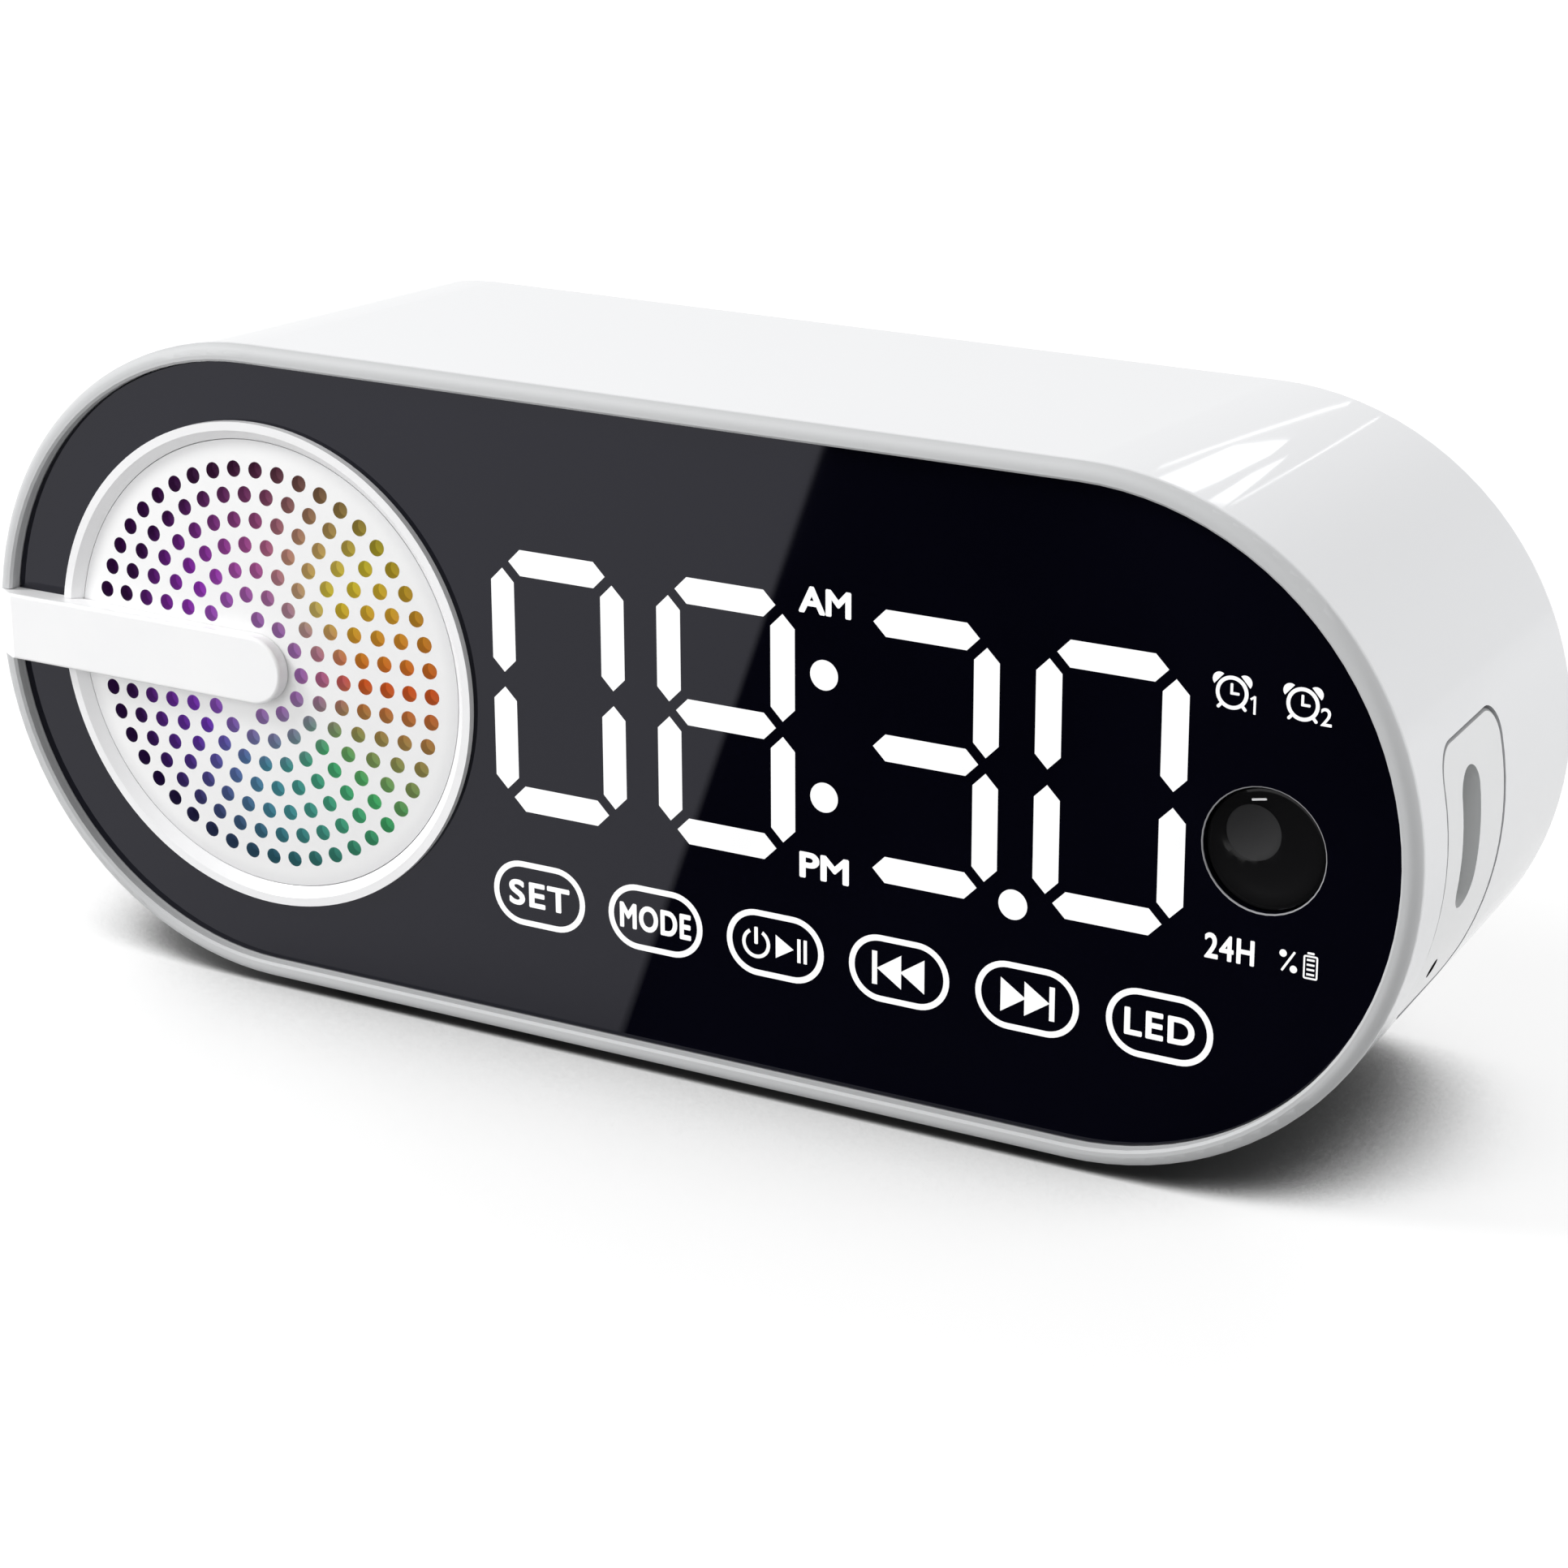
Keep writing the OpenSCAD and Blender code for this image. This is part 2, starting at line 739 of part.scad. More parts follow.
// Plate let into the back, with rows of sound slots behind the speaker
module rear_cover() {
    color("#ececec") difference() {
        oval_block(cover_r - fit, cover_d0, cover_d1);
        for (p = cover_places()) {
            rod(p[0], p[1], cover_screw_r + fit, cover_d0 - over, cover_d1 + over);
            rod(p[0], p[1], cover_head_r + fit, cover_d1 - cover_head_t, cover_d1 + over);
        }
        for (i = [0 : vent_n - 1]) vent((i - (vent_n - 1) / 2) * vent_pitch + face_lift);
    }
}

module vent(z) {
    straight = vent_l - vent_w;
    block(-speaker_x, z, straight, vent_w, cover_d0 - over, cover_d1 + over);
    for (side = [-1, 1])
        rod(-speaker_x + side * straight / 2, z, vent_w / 2, cover_d0 - over, cover_d1 + over);
}

module cover_screws() {
    color("#8f9296") for (p = cover_places()) {
        rod(p[0], p[1], cover_screw_r, cover_d1 - cover_screw_l, cover_d1 - cover_head_t);
        rod(p[0], p[1], cover_head_r, cover_d1 - cover_head_t, cover_d1 - cover_head_t / 4);
    }
}

// Curved plate let into the right end, with a collar that reaches in to the socket's mouth
module port_plate() {
    color("#f4f4f4") difference() {
        union() {
            intersection() {
                wall_skin(plate_sink, plate_sink + plate_t);
                port_form(0);
            }
            intersection() {
                wall_skin(plate_sink + plate_t / 2, r_front / 2);
                slot_form(slot_collar_t, slot_collar_gap);
            }
        }
        slot_form(0, -usb_l);
        translate([usb_x, front_y + pinhole_d, mid_z + pinhole_z])
            rotate([0, 90, 0]) cylinder(h = r_front, r = pinhole_r, $fn = small_fn);
    }
}

module microphone() {
    r = r_out(pinhole_d + mic_r) - plate_sink - plate_t;
    x = span + sqrt(r * r - pow(-pinhole_z + mic_r, 2)) - fit;
    color("#b8bcc0") translate([x - mic_t, front_y + pinhole_d, mid_z + pinhole_z])
        rotate([0, 90, 0]) cylinder(h = mic_t, r = mic_r, $fn = small_fn);
}

// Smoked sheet with the holes for the speaker, the knob and the bar's peg
module front_panel() {
    color("#15151c") difference() {
        oval_block(rim_in - fit, panel_recess, panel_back);
        rod(-speaker_x, face_lift, collar_r + fit, panel_recess - over, panel_back + over, $fn);
        rod(knob_x, face_lift, knob_hole_r, panel_recess - over, panel_back + over, $fn);
        rod(-bar_peg_place, bar_z, bar_peg_r + fit, panel_recess - over, panel_back + over);
    }
}

module panel_tape() {
    color("#2b2b2b") difference() {
        oval_ring(ledge_r + fit, rim_in - 2 * fit, panel_back, ledge_d0);
        rod(-bar_peg_place, bar_z, bar_peg_r + fit, panel_back - over, ledge_d0 + over);
    }
}

// Black frame behind the ledge, which carries the boards and the sound chamber
module inner_frame() {
    color("#232326") difference() {
        union() {
            oval_block(frame_r, frame_d0, frame_d1);
            for (p = display_posts) rod(p[0], p[1], display_post_r, frame_d0, display_d0);
            for (p = main_places()) rod(p[0], p[1], main_post_r, frame_d0, main_d0);
        }
        rod(-speaker_x, face_lift, collar_r + 3 * fit, frame_d0 - over, frame_d1 + over, $fn);
        intersection() {
            oval_block(window_r, frame_d0 - over, frame_d1 + over);
            block(
                (reflector_right - reflector_left) / 2, (reflector_top - window_low) / 2,
                reflector_right + reflector_left + 2 * window_gap, reflector_top + window_low + 2 * window_gap,
                frame_d0 - over, frame_d1 + over
            );
        }
        for (p = frame_places()) rod(p[0], p[1], frame_boss_r + fit, frame_d0 - over, frame_d1 + over);
        for (p = concat(chamber_ears(), chamber_posts()))
            rod(p[0], p[1], chamber_screw_r + fit, frame_d0 - over, frame_d1 + over);
        for (p = display_posts)
            rod(p[0], p[1], display_screw_r + screw_gap, display_d1 - display_screw_l - over, display_d0 + over);
        for (p = main_places())
            rod(p[0], p[1], main_screw_r + screw_gap, main_d1 - main_screw_l - over, main_d0 + over);
        rod(-bar_peg_place, bar_z, bar_peg_r + fit, frame_d0 - over, frame_d1 + over);
    }
}

module frame_screws() {
    color("#8f9296") for (p = frame_places()) {
        d = frame_d0 + frame_boss_h;
        rod(p[0], p[1], frame_screw_r, d - frame_pilot_l + screw_gap, frame_d1);
        rod(p[0], p[1], frame_head_r, frame_d1, frame_d1 + frame_head_t);
    }
}

// Seven-segment digits
seg_l = digit_w - 2 * seg_gap;
seg_v = digit_h / 2 - 2 * seg_gap;
half_mark_place = digit_h / 2 + half_mark_out;
dot_drop = 1.15;
digit_places = [for (pair = [0, 1], i = [0, 1]) pair * pair_pitch + i * digit_pitch - digit_x];

function segment_places() = [
    for (x = digit_places) each concat(
        [for (k = [-1, 0, 1]) [x, digit_z + k * digit_h / 2, 0]],
        [for (side = [-1, 1], up = [-1, 1]) [x + side * digit_w / 2, digit_z + up * digit_h / 4, 90]]
    )
];

function dot_places() = [
    for (up = [-1, 1]) [colon_x, digit_z + up * digit_h / 4],
    [colon_x + pair_pitch / 2, digit_z - digit_h / 2 - dot_drop]
];

module segment_outline(l) {
    t = seg_t / 2;
    polygon([
        [-l / 2, 0], [-l / 2 + t, t], [l / 2 - t, t], [l / 2, 0], [l / 2 - t, -t], [-l / 2 + t, -t]
    ]);
}

module display_outline(grow) {
    translate([-reflector_left - grow, -reflector_low - grow])
        square([reflector_left + reflector_right + 2 * grow, reflector_low + reflector_top + 2 * grow]);
}

module display_plate(grow, d0, d1) {
    difference() {
        intersection() {
            slab(d0, d1) display_outline(grow);
            oval_block(window_r - window_gap + grow, d0, d1);
        }
        rod(knob_x, face_lift, well_r, d0 - over, d1 + over, $fn);
        rod(-speaker_x, face_lift, collar_r + 3 * fit, d0 - over, d1 + over, $fn);
    }
}

module display_film() {
    color("#dcdcdc") display_plate(-film_margin, panel_back, reflector_d0);
}

// White block with one open well behind each segment and mark
module display_reflector() {
    color("#f0f0f0") difference() {
        display_plate(0, reflector_d0, display_d0);
        slab(reflector_d0 - over, display_d0 + over) {
            for (p = segment_places())
                translate([p[0], p[1]]) rotate([0, 0, p[2]]) segment_outline(p[2] == 0 ? seg_l : seg_v);
            for (p = marks) translate([p[0] - mark_w / 2, p[1] - mark_h / 2]) square([mark_w, mark_h]);
            for (up = [-1, 1])
                translate([colon_x - half_mark_w / 2, digit_z + up * half_mark_place - half_mark_h / 2])
                    square([half_mark_w, half_mark_h]);
        }
        for (p = dot_places()) rod(p[0], p[1], dot_r, reflector_d0 - over, display_d0 + over);
    }
}

module display_board() {
    color("#1d5c3a") difference() {
        intersection() {
            slab(display_d0, display_d1) translate([-display_left, -display_low])
                square([display_left + body_w / 2, display_low + display_top]);
            oval_block(display_r, display_d0, display_d1);
        }
        rod(knob_x, face_lift, board_hole_r, display_d0 - over, display_d1 + over, $fn);
        for (p = display_posts)
            rod(p[0], p[1], display_screw_r + fit, display_d0 - over, display_d1 + over);
        for (p = main_places())
            rod(p[0], p[1], main_post_r + main_post_gap, display_d0 - over, display_d1 + over);
    }
}

module segment_lamps() {
    color("#f7f3d8") {
        for (p = segment_places())
            block(
                p[0], p[1], p[2] == 0 ? seg_lamp_l : seg_lamp_w, p[2] == 0 ? seg_lamp_w : seg_lamp_l,
                display_d0 - seg_lamp_t, display_d0
            );
        for (p = dot_places())
            block(p[0], p[1], seg_lamp_w, seg_lamp_w, display_d0 - seg_lamp_t, display_d0);
        for (p = marks) block(p[0], p[1], seg_lamp_l, seg_lamp_w, display_d0 - seg_lamp_t, display_d0);
        for (up = [-1, 1])
            block(
                colon_x, digit_z + up * half_mark_place, seg_lamp_l, seg_lamp_w, display_d0 - seg_lamp_t, display_d0
            );
    }
}

// Springs that bring the touch keys from the board to the back of the panel
module touch_springs() {
    color("#c9a24a") for (i = [0 : key_n - 1]) difference() {
        rod(i * key_pitch - key_x, -key_z, spring_r, panel_back, display_d0);
        rod(i * key_pitch - key_x, -key_z, spring_r - spring_t, panel_back - over, display_d0 + over);
    }
}

module display_screws() {
    color("#8f9296") for (p = display_posts) {
        rod(p[0], p[1], display_screw_r, display_d1 - display_screw_l, display_d1);
        rod(p[0], p[1], display_head_r, display_d1, display_d1 + display_head_t);
    }
}

// Ring with a sloping inner face, a lip over the grille's edge, and a collar with hooks
module speaker_bezel() {
    color("#f6f6f6") {
        turned(-speaker_x, face_lift) polygon([
            [ring_r - ring_w, ring_front], [ring_r, ring_front], [ring_r, panel_recess],
            [collar_r, panel_recess], [collar_r, collar_d1], [seat_r, collar_d1],
            [seat_r, lip_d1], [lip_r, lip_d1], [lip_r, lip_d0]
        ]);
        for (i = [0 : hook_n - 1]) hook(45 + i * 360 / hook_n);
    }
}

module hook(turn) {
    arm_r = collar_r - hook_wall;
    end = frame_d1 + hook_gap + hook_t;
    translate([-speaker_x, front_y, mid_z + face_lift]) rotate([0, turn, 0]) intersection() {
        translate([arm_r - over, 0, -hook_w / 2]) cube([2 * over + hook_wall + hook_over, end, hook_w]);
        rotate([-90, 0, 0]) rotate_extrude() polygon([
            [arm_r, collar_d1 - hook_t], [collar_r, collar_d1 - hook_t], [collar_r, frame_d1 + hook_gap],
            [collar_r + 3 * fit + hook_over, frame_d1 + hook_gap], [collar_r, end], [arm_r, end]
        ]);
    }
}

// Slightly domed disc with rings of holes, six more in each ring than in the one inside it
function hole_places() = [
    for (ring = [2 : hole_rings]) for (i = [0 : 6 * ring - 1])
        let (a = i * 60 / ring, x = ring * hole_pitch * cos(a), z = ring * hole_pitch * sin(a))
        if (x > -hole_r || abs(z - bar_lift) > hole_clear) [x, z]
];

module dome_profile(r, front, t) {
    intersection() {
        difference() {
            translate([0, front + dome_ball]) circle(dome_ball, $fn = 720);
            translate([0, front + dome_ball]) circle(dome_ball - t, $fn = 720);
        }
        square([r, lip_d1 + grille_t]);
    }
}

module grille_disc() {
    color("#f3f3f3") difference() {
        turned(-speaker_x, face_lift) {
            dome_profile(dome_r, dome_front, dome_t);
            translate([dome_r - 2 * slope_w, dome_d(dome_r) + dome_t / 2])
                square([2 * slope_w, grille_d1 - dome_d(dome_r) - dome_t / 2]);
            translate([dome_r - slope_w, lip_d1]) square([seat_r - fit - dome_r + slope_w, grille_t]);
        }
        for (p = hole_places())
            rod(p[0] - speaker_x, p[1] + face_lift, hole_r, dome_front - over, grille_d1 + over, hole_fn);
        rod(-speaker_x, bar_z, bar_pin_r + fit, dome_front - over, grille_d1 + over);
    }
}

// Frosted film that shows the light behind the holes
module grille_film() {
    start = dome_r - 3 * slope_w;
    color("#c9b6e4") difference() {
        turned(-speaker_x, face_lift) {
            dome_profile(start, dome_front + dome_t + glow_gap, glow_film_t);
            translate([start - glow_film_t, dome_d(start) + dome_t + glow_gap])
                square([glow_film_t, glow_d1 - dome_d(start) - dome_t - glow_gap]);
            translate([start - glow_film_t, grille_d1]) square([seat_r - fit - start + glow_film_t, glow_film_t]);
        }
        rod(-speaker_x, bar_z, bar_pin_head_r + 2 * fit, dome_front - over, grille_d1 + over);
    }
}

module grille_retainer() {
    color("#e6e6e6") turned(-speaker_x, face_lift)
        translate([seat_r - fit - retainer_w, glow_d1]) square([retainer_w, retainer_t]);
}

module light_ring_board() {
    color("#e9e9ea") turned(-speaker_x, face_lift)
        translate([seat_r - fit - ring_board_w, retainer_d1]) square([ring_board_w, ring_board_t]);
}

module ring_lamps() {
    r = seat_r - fit - ring_board_w + lamp_size / 2 + 2 * fit;
    color("#fdf6e3") for (i = [0 : lamp_n - 1]) {
        a = (i + 0.5) * 360 / lamp_n;
        block(
            r * cos(a) - speaker_x, r * sin(a) + face_lift, lamp_size, lamp_size,
            retainer_d1 - lamp_t, retainer_d1
        );
    }
}

// Bar with a round end, a rounded front edge and a long slope at its left end
module bar_profile() {
    difference() {
        translate([0, bar_front]) square([bar_half, panel_recess - bar_front]);
        translate([bar_half - bar_round, bar_front + bar_round]) mirror([0, 1]) corner_cut(bar_round);
    }
}

module bar_blank() {
    translate([-speaker_x, front_y, mid_z + bar_z]) {
        rotate([-90, 0, 0]) rotate([0, 0, -90]) rotate_extrude(angle = 180, $fn = 48) bar_profile();
        for (side = [-1, 1]) translate([(speaker_x - bar_left) / 2, 0, 0])
            rotate([0, -90 * side, 0]) linear_extrude(bar_left - speaker_x, center = true) bar_profile();
    }
    // inside both, across the face where they meet
    block(-speaker_x, bar_z, bar_half, bar_half, bar_front + bar_round, panel_recess - bar_round);
}

module arm_bar() {
    color("#fafafa") {
        difference() {
            bar_blank();
            // slope at the left end
            translate([-bar_left, front_y + bar_front, mid_z + bar_z - bar_half - over])
                linear_extrude(2 * (bar_half + over)) polygon([
                    [-over, -over], [bar_slope_l, -over], [bar_slope_l, 0], [0, bar_slope_d], [-over, bar_slope_d]
                ]);
            // space taken by the ring and the dome under the bar
            turned(-speaker_x, face_lift) {
                polygon([
                    [dome_r - over, lip_d0 - dome_edge_gap], [lip_r, lip_d0 - dome_edge_gap],
                    [ring_r - ring_w, ring_front - dome_edge_gap], [ring_r + dome_edge_gap, ring_front - dome_edge_gap],
                    [ring_r + dome_edge_gap, panel_recess + over], [dome_r - over, panel_recess + over]
                ]);
                intersection() {
                    translate([0, dome_front - dome_edge_gap + dome_ball]) circle(dome_ball, $fn = 720);
                    square([dome_r, panel_recess + over]);
                }
            }
        }
        rod(-bar_peg_place, bar_z, bar_peg_r, panel_recess - fit, frame_d1);
        rod(-bar_peg_place, bar_z, bar_peg_head_r, frame_d1, frame_d1 + bar_peg_head_t);
        rod(-speaker_x, bar_z, bar_pin_r, dome_front - 2 * fit, dome_front + dome_t + fit);
        rod(
            -speaker_x, bar_z, bar_pin_head_r, dome_front + dome_t + fit,
            dome_front + dome_t + fit + bar_pin_head_t
        );
    }
}

// Box outline of the sound chamber: round at the left end, straight at the right
module chamber_form(inset, d0, d1) {
    r = chamber_r - inset;
    translate([-span, front_y, mid_z])
        rotate([-90, 0, 0]) rotate([0, 0, 90]) rotate_extrude(angle = 180)
            translate([0, d0]) square([r, d1 - d0]);
    translate([-span, front_y + d0, mid_z - r]) cube([span - chamber_right - inset, d1 - d0, 2 * r]);
}

module sound_chamber() {
    ear_d1 = frame_d1 + chamber_ear_l;
    color("#2a2a2d") difference() {
        union() {
            difference() {
                chamber_form(0, frame_d1, chamber_d1);
                chamber_form(chamber_wall, frame_d1 - over, chamber_plate_d0);
                chamber_form(chamber_wall, chamber_plate_d1, chamber_d1 - chamber_wall);
            }
            for (p = chamber_ears()) rod(p[0], p[1], chamber_ear_r, frame_d1, ear_d1);
            for (p = chamber_posts()) rod(p[0], p[1], chamber_post_r, frame_d1, ear_d1);
            turned(-speaker_x, face_lift)
                translate([seat_r - 2 * fit - chamber_collar_w, ring_board_d1])
                    square([chamber_collar_w, chamber_plate_d0 + fit - ring_board_d1]);
            for (i = [0 : 3]) speaker_place(i)
                rotate([-90, 0, 0]) translate([0, 0, chamber_plate_d0 + fit])
                    cylinder(h = speaker_boss_l, r = speaker_boss_r, $fn = small_fn);
        }
        rod(-speaker_x, face_lift, basket_hole_r, chamber_plate_d0 - over, chamber_plate_d1 + over, $fn);
        for (p = concat(chamber_ears(), chamber_posts()))
            rod(p[0], p[1], chamber_screw_r + screw_gap, frame_d1 - over, frame_d1 + chamber_screw_l + over);
        for (i = [0 : 3]) speaker_place(i) rotate([-90, 0, 0]) translate([0, 0, chamber_plate_d0 - over])
            cylinder(h = speaker_screw_l + over, r = speaker_screw_r + screw_gap, $fn = small_fn);
    }
}

// One of the four screw places round the speaker, at the front plane
module speaker_place(i) {
    a = 45 + 90 * i;
    translate([
        speaker_screw_place * cos(a) - speaker_x, front_y, mid_z + face_lift + speaker_screw_place * sin(a)
    ]) children();
}

module chamber_screws() {
    color("#8f9296") for (p = concat(chamber_ears(), chamber_posts())) {
        rod(p[0], p[1], chamber_screw_r, frame_d0, frame_d1 + chamber_screw_l);
        rod(p[0], p[1], chamber_head_r, frame_d0 - chamber_head_t, frame_d0);
    }
}

module speaker_gasket() {
    color("#1c1c1c") difference() {
        turned(-speaker_x, face_lift)
            translate([basket_hole_r, basket_d1]) square([basket_r - basket_hole_r, gasket_t]);
        speaker_holes(speaker_screw_r + fit);
    }
}

module speaker_holes(r) {
    for (i = [0 : 3]) speaker_place(i) rotate([-90, 0, 0]) translate([0, 0, basket_d0 - over])
        cylinder(h = basket_t + gasket_t + 2 * over, r = r, $fn = small_fn);
}

// Pressed basket with four windows between its flange and its foot
module speaker_basket() {
    neck = basket_neck_r - basket_wall;
    color("#4a4c50") difference() {
        turned(-speaker_x, face_lift) polygon([
            [basket_r, basket_d0], [basket_r, basket_d1], [basket_neck_r, basket_d1],
            [basket_foot_r, basket_back], [basket_bore_r, basket_back], [basket_bore_r, basket_back - basket_wall],
            [basket_foot_r - basket_wall, basket_back - basket_wall], [neck, basket_d1], [neck, basket_d0]
        ]);
        speaker_holes(speaker_screw_r + fit);
        for (i = [0 : 3]) translate([-speaker_x, front_y, mid_z + face_lift]) rotate([0, 90 * i, 0])
            translate([basket_foot_r, basket_d1 + basket_wall, -basket_foot_r / 2])
                cube([basket_foot_r, basket_l - basket_t - 4 * basket_wall, basket_foot_r]);
    }
}

module speaker_screws() {
    color("#8f9296") for (i = [0 : 3]) speaker_place(i) rotate([-90, 0, 0]) {
        translate([0, 0, basket_d0 - speaker_head_t])
            cylinder(h = speaker_head_t, r = speaker_head_r, $fn = small_fn);
        translate([0, 0, basket_d0]) cylinder(h = speaker_screw_l, r = speaker_screw_r, $fn = small_fn);
    }
}

// Half-round rubber roll between the basket's flange and the cone
module speaker_surround() {
    neck = basket_neck_r - basket_wall;
    color("#202022") turned(-speaker_x, face_lift) difference() {
        union() {
            translate([surround_r, basket_d0]) circle(surround_tube, $fn = small_fn);
            translate([surround_r, basket_d0 - surround_t])
                square([neck + surround_flat - surround_r, surround_t]);
            translate([cone_r - surround_flat, basket_d0 - surround_t])
                square([surround_r - cone_r + surround_flat, surround_t]);
        }
        translate([surround_r, basket_d0]) circle(surround_tube - surround_t, $fn = small_fn);
        translate([cone_r - surround_flat - over, basket_d0])
            square([surround_r, surround_tube + over]);
    }
}

module speaker_cone() {
    color("#3c3c3e") turned(-speaker_x, face_lift) polygon([
        [cone_r, basket_d0], [cone_r, basket_d0 + cone_t], [cone_neck_r, basket_d0 + cone_l + cone_t],
        [cone_neck_r, basket_d0 + cone_l], [cone_r - surround_flat, basket_d0]
    ]);
}

module dust_cap() {
    rim = basket_d0 + cone_l - cap_t;
    centre = rim + sqrt(cap_ball * cap_ball - cone_neck_r * cone_neck_r);
    color("#2c2c2e") turned(-speaker_x, face_lift) intersection() {
        difference() {
            translate([0, centre]) circle(cap_ball);
            translate([0, centre]) circle(cap_ball - cap_t);
        }
        translate([0, rim - cap_ball]) square([cone_neck_r, cap_ball]);
    }
}

module voice_coil() {
    color("#b5763a") turned(-speaker_x, face_lift)
        translate([coil_r - coil_t, basket_d0 + cone_l + cap_t]) square([coil_t, coil_l]);
}

module top_plate() {
    color("#9aa0a6") turned(-speaker_x, face_lift)
        translate([gap_r, basket_back]) square([top_plate_r - gap_r, top_plate_t]);
}

module magnet_ring() {
    color("#333539") turned(-speaker_x, face_lift)
        translate([magnet_bore_r, top_d1]) square([magnet_r - magnet_bore_r, magnet_t]);
}

module pole_yoke() {
    color("#9aa0a6") turned(-speaker_x, face_lift) {
        translate([0, magnet_d1]) square([top_plate_r, yoke_t]);
        translate([0, basket_back]) square([pole_r, magnet_d1 + yoke_t - basket_back]);
    }
}

// Shaft with a flat for the knob
module shaft_form(r, flat, d0, d1) {
    difference() {
        rod(0, 0, r, d0, d1, 48);
        translate([-2 * shaft_r, front_y + d0 - over, mid_z + shaft_r - flat])
            cube([4 * shaft_r, hub_d1 - d0 + over, 2 * shaft_r]);
    }
}

module volume_knob() {
    far = sqrt(knob_dish_ball * knob_dish_ball - knob_dish_r * knob_dish_r);
    deep = dimple_ball - dimple_t;
    bowl = knob_dish_t * 0.85;
    color("#101012") difference() {
        turned(knob_x, face_lift) polygon([
            [0, knob_d0], [knob_r - knob_chamfer, knob_d0], [knob_r, knob_d0 + knob_chamfer],
            [knob_r, knob_d0 + knob_t], [hub_r, knob_d0 + knob_t], [hub_r, hub_d1], [0, hub_d1]
        ]);
        translate([knob_x, front_y + knob_d0 - far, mid_z + face_lift])
            rotate([-90, 0, 0]) sphere(knob_dish_ball, $fn = 128);
        translate([
            knob_x + dimple_place * cos(dimple_angle), front_y + knob_d0 + bowl - deep,
            mid_z + face_lift + dimple_place * sin(dimple_angle)
        ]) rotate([-90, 0, 0]) sphere(dimple_ball, $fn = 64);
        translate([knob_x, 0, face_lift])
            shaft_form(shaft_r + screw_gap, shaft_flat, shaft_d0 - screw_gap, hub_d1 + over);
    }
}

module knob_shaft() {
    color("#b9bdc2") translate([knob_x, 0, face_lift])
        shaft_form(shaft_r, shaft_flat + screw_gap, shaft_d0, shaft_d1 - shaft_gap);
}

module encoder_bush() {
    color("#a9adb3") difference() {
        rod(knob_x, face_lift, shaft_r + bush_t, bush_d0, encoder_d0, 48);
        rod(knob_x, face_lift, shaft_r + shaft_gap, bush_d0 - over, encoder_d0 + over, 48);
    }
}

module encoder_body() {
    color("#5c7f9c") difference() {
        block(knob_x, face_lift, encoder_w, encoder_h, encoder_d0, main_d0);
        rod(knob_x, face_lift, shaft_r + shaft_gap, encoder_d0 - over, shaft_d1, 48);
    }
}

module main_board() {
    color("#1f6a43") difference() {
        intersection() {
            oval_block(main_r, main_d0, main_d1);
            slab(main_d0, main_d1) translate([-main_left, -r_front])
                square([main_left + body_w / 2, body_h]);
        }
        for (p = main_places()) rod(p[0], p[1], main_screw_r + fit, main_d0 - over, main_d1 + over);
    }
}

module board_screws() {
    color("#8f9296") for (p = main_places()) {
        rod(p[0], p[1], main_screw_r, main_d1 - main_screw_l, main_d1);
        rod(p[0], p[1], main_head_r, main_d1, main_d1 + main_head_t);
    }
}

module board_header() {
    color("#26262a") block(header_x, header_z, header_l, header_w, display_d1, main_d0);
}

module board_chips() {
    color("#2b2b2f") {
        block(amp_w - main_left, amp_w, amp_w, amp_w, main_d1, main_d1 + chip_t);
        block(amp_w + chip_gap, -amp_w / 2, amp_w, amp_w, main_d1, main_d1 + chip_t);
        for (i = [0, 1])
            block(amp_w - main_left, -chip_gap * (i + 1), coil_w, coil_w, main_d1, main_d1 + coil_h);
        for (i = [0, 1])
            rod(knob_x - chip_gap * i, chip_gap + can_r, can_r, main_d1, main_d1 + can_h);
    }
}

module radio_module() {
    color("#2e6f8f") {
        block(header_x, header_z - radio_edge, radio_w, radio_h, main_d1, main_d1 + radio_t);
        block(
            header_x, header_z - radio_edge, radio_w - 2 * radio_edge, radio_h - 2 * radio_edge,
            main_d1 + radio_t, main_d1 + radio_t + radio_can_t
        );
    }
}

// Metal shell with rounded sides, open to the right, and its tongue
module usb_profile(inset) {
    r = usb_h / 2 - inset;
    straight = usb_w / 2 - usb_h / 2;
    for (up = [-1, 1]) translate([0, up * straight]) circle(r, $fn = small_fn);
    translate([-r, -straight]) square([2 * r, 2 * straight]);
}

module usb_socket() {
    tongue_w = usb_w - usb_h;
    color("#c4c7cb") translate([usb_x - usb_l, front_y + usb_d, mid_z + usb_z]) rotate([90, 0, 90]) {
        difference() {
            linear_extrude(usb_l) usb_profile(0);
            translate([0, 0, usb_tongue_back]) linear_extrude(usb_l) usb_profile(usb_wall);
        }
        translate([-usb_tongue_t / 2, -tongue_w / 2, usb_tongue_back / 2])
            cube([usb_tongue_t, tongue_w, usb_l - 1.5 * usb_tongue_back]);
    }
}

module battery_cradle() {
    w = cell_l + cap_tip_l + 2 * (cradle_end + cell_gap);
    h = 2 * (cell_r + cell_gap + cradle_side);
    color("#303034") difference() {
        block(cell_x, cell_z, w, h, cover_d0 - cradle_h, cover_d0);
        translate([cell_x - w / 2 + cradle_end, front_y + cell_d, mid_z + cell_z]) rotate([0, 90, 0])
            cylinder(h = w - 2 * cradle_end, r = cell_r + cell_gap);
        block(
            cell_x, cell_z, w - 2 * cradle_end, 2 * (cell_r + cell_gap), cover_d0 - cradle_h - over, cell_d
        );
    }
}

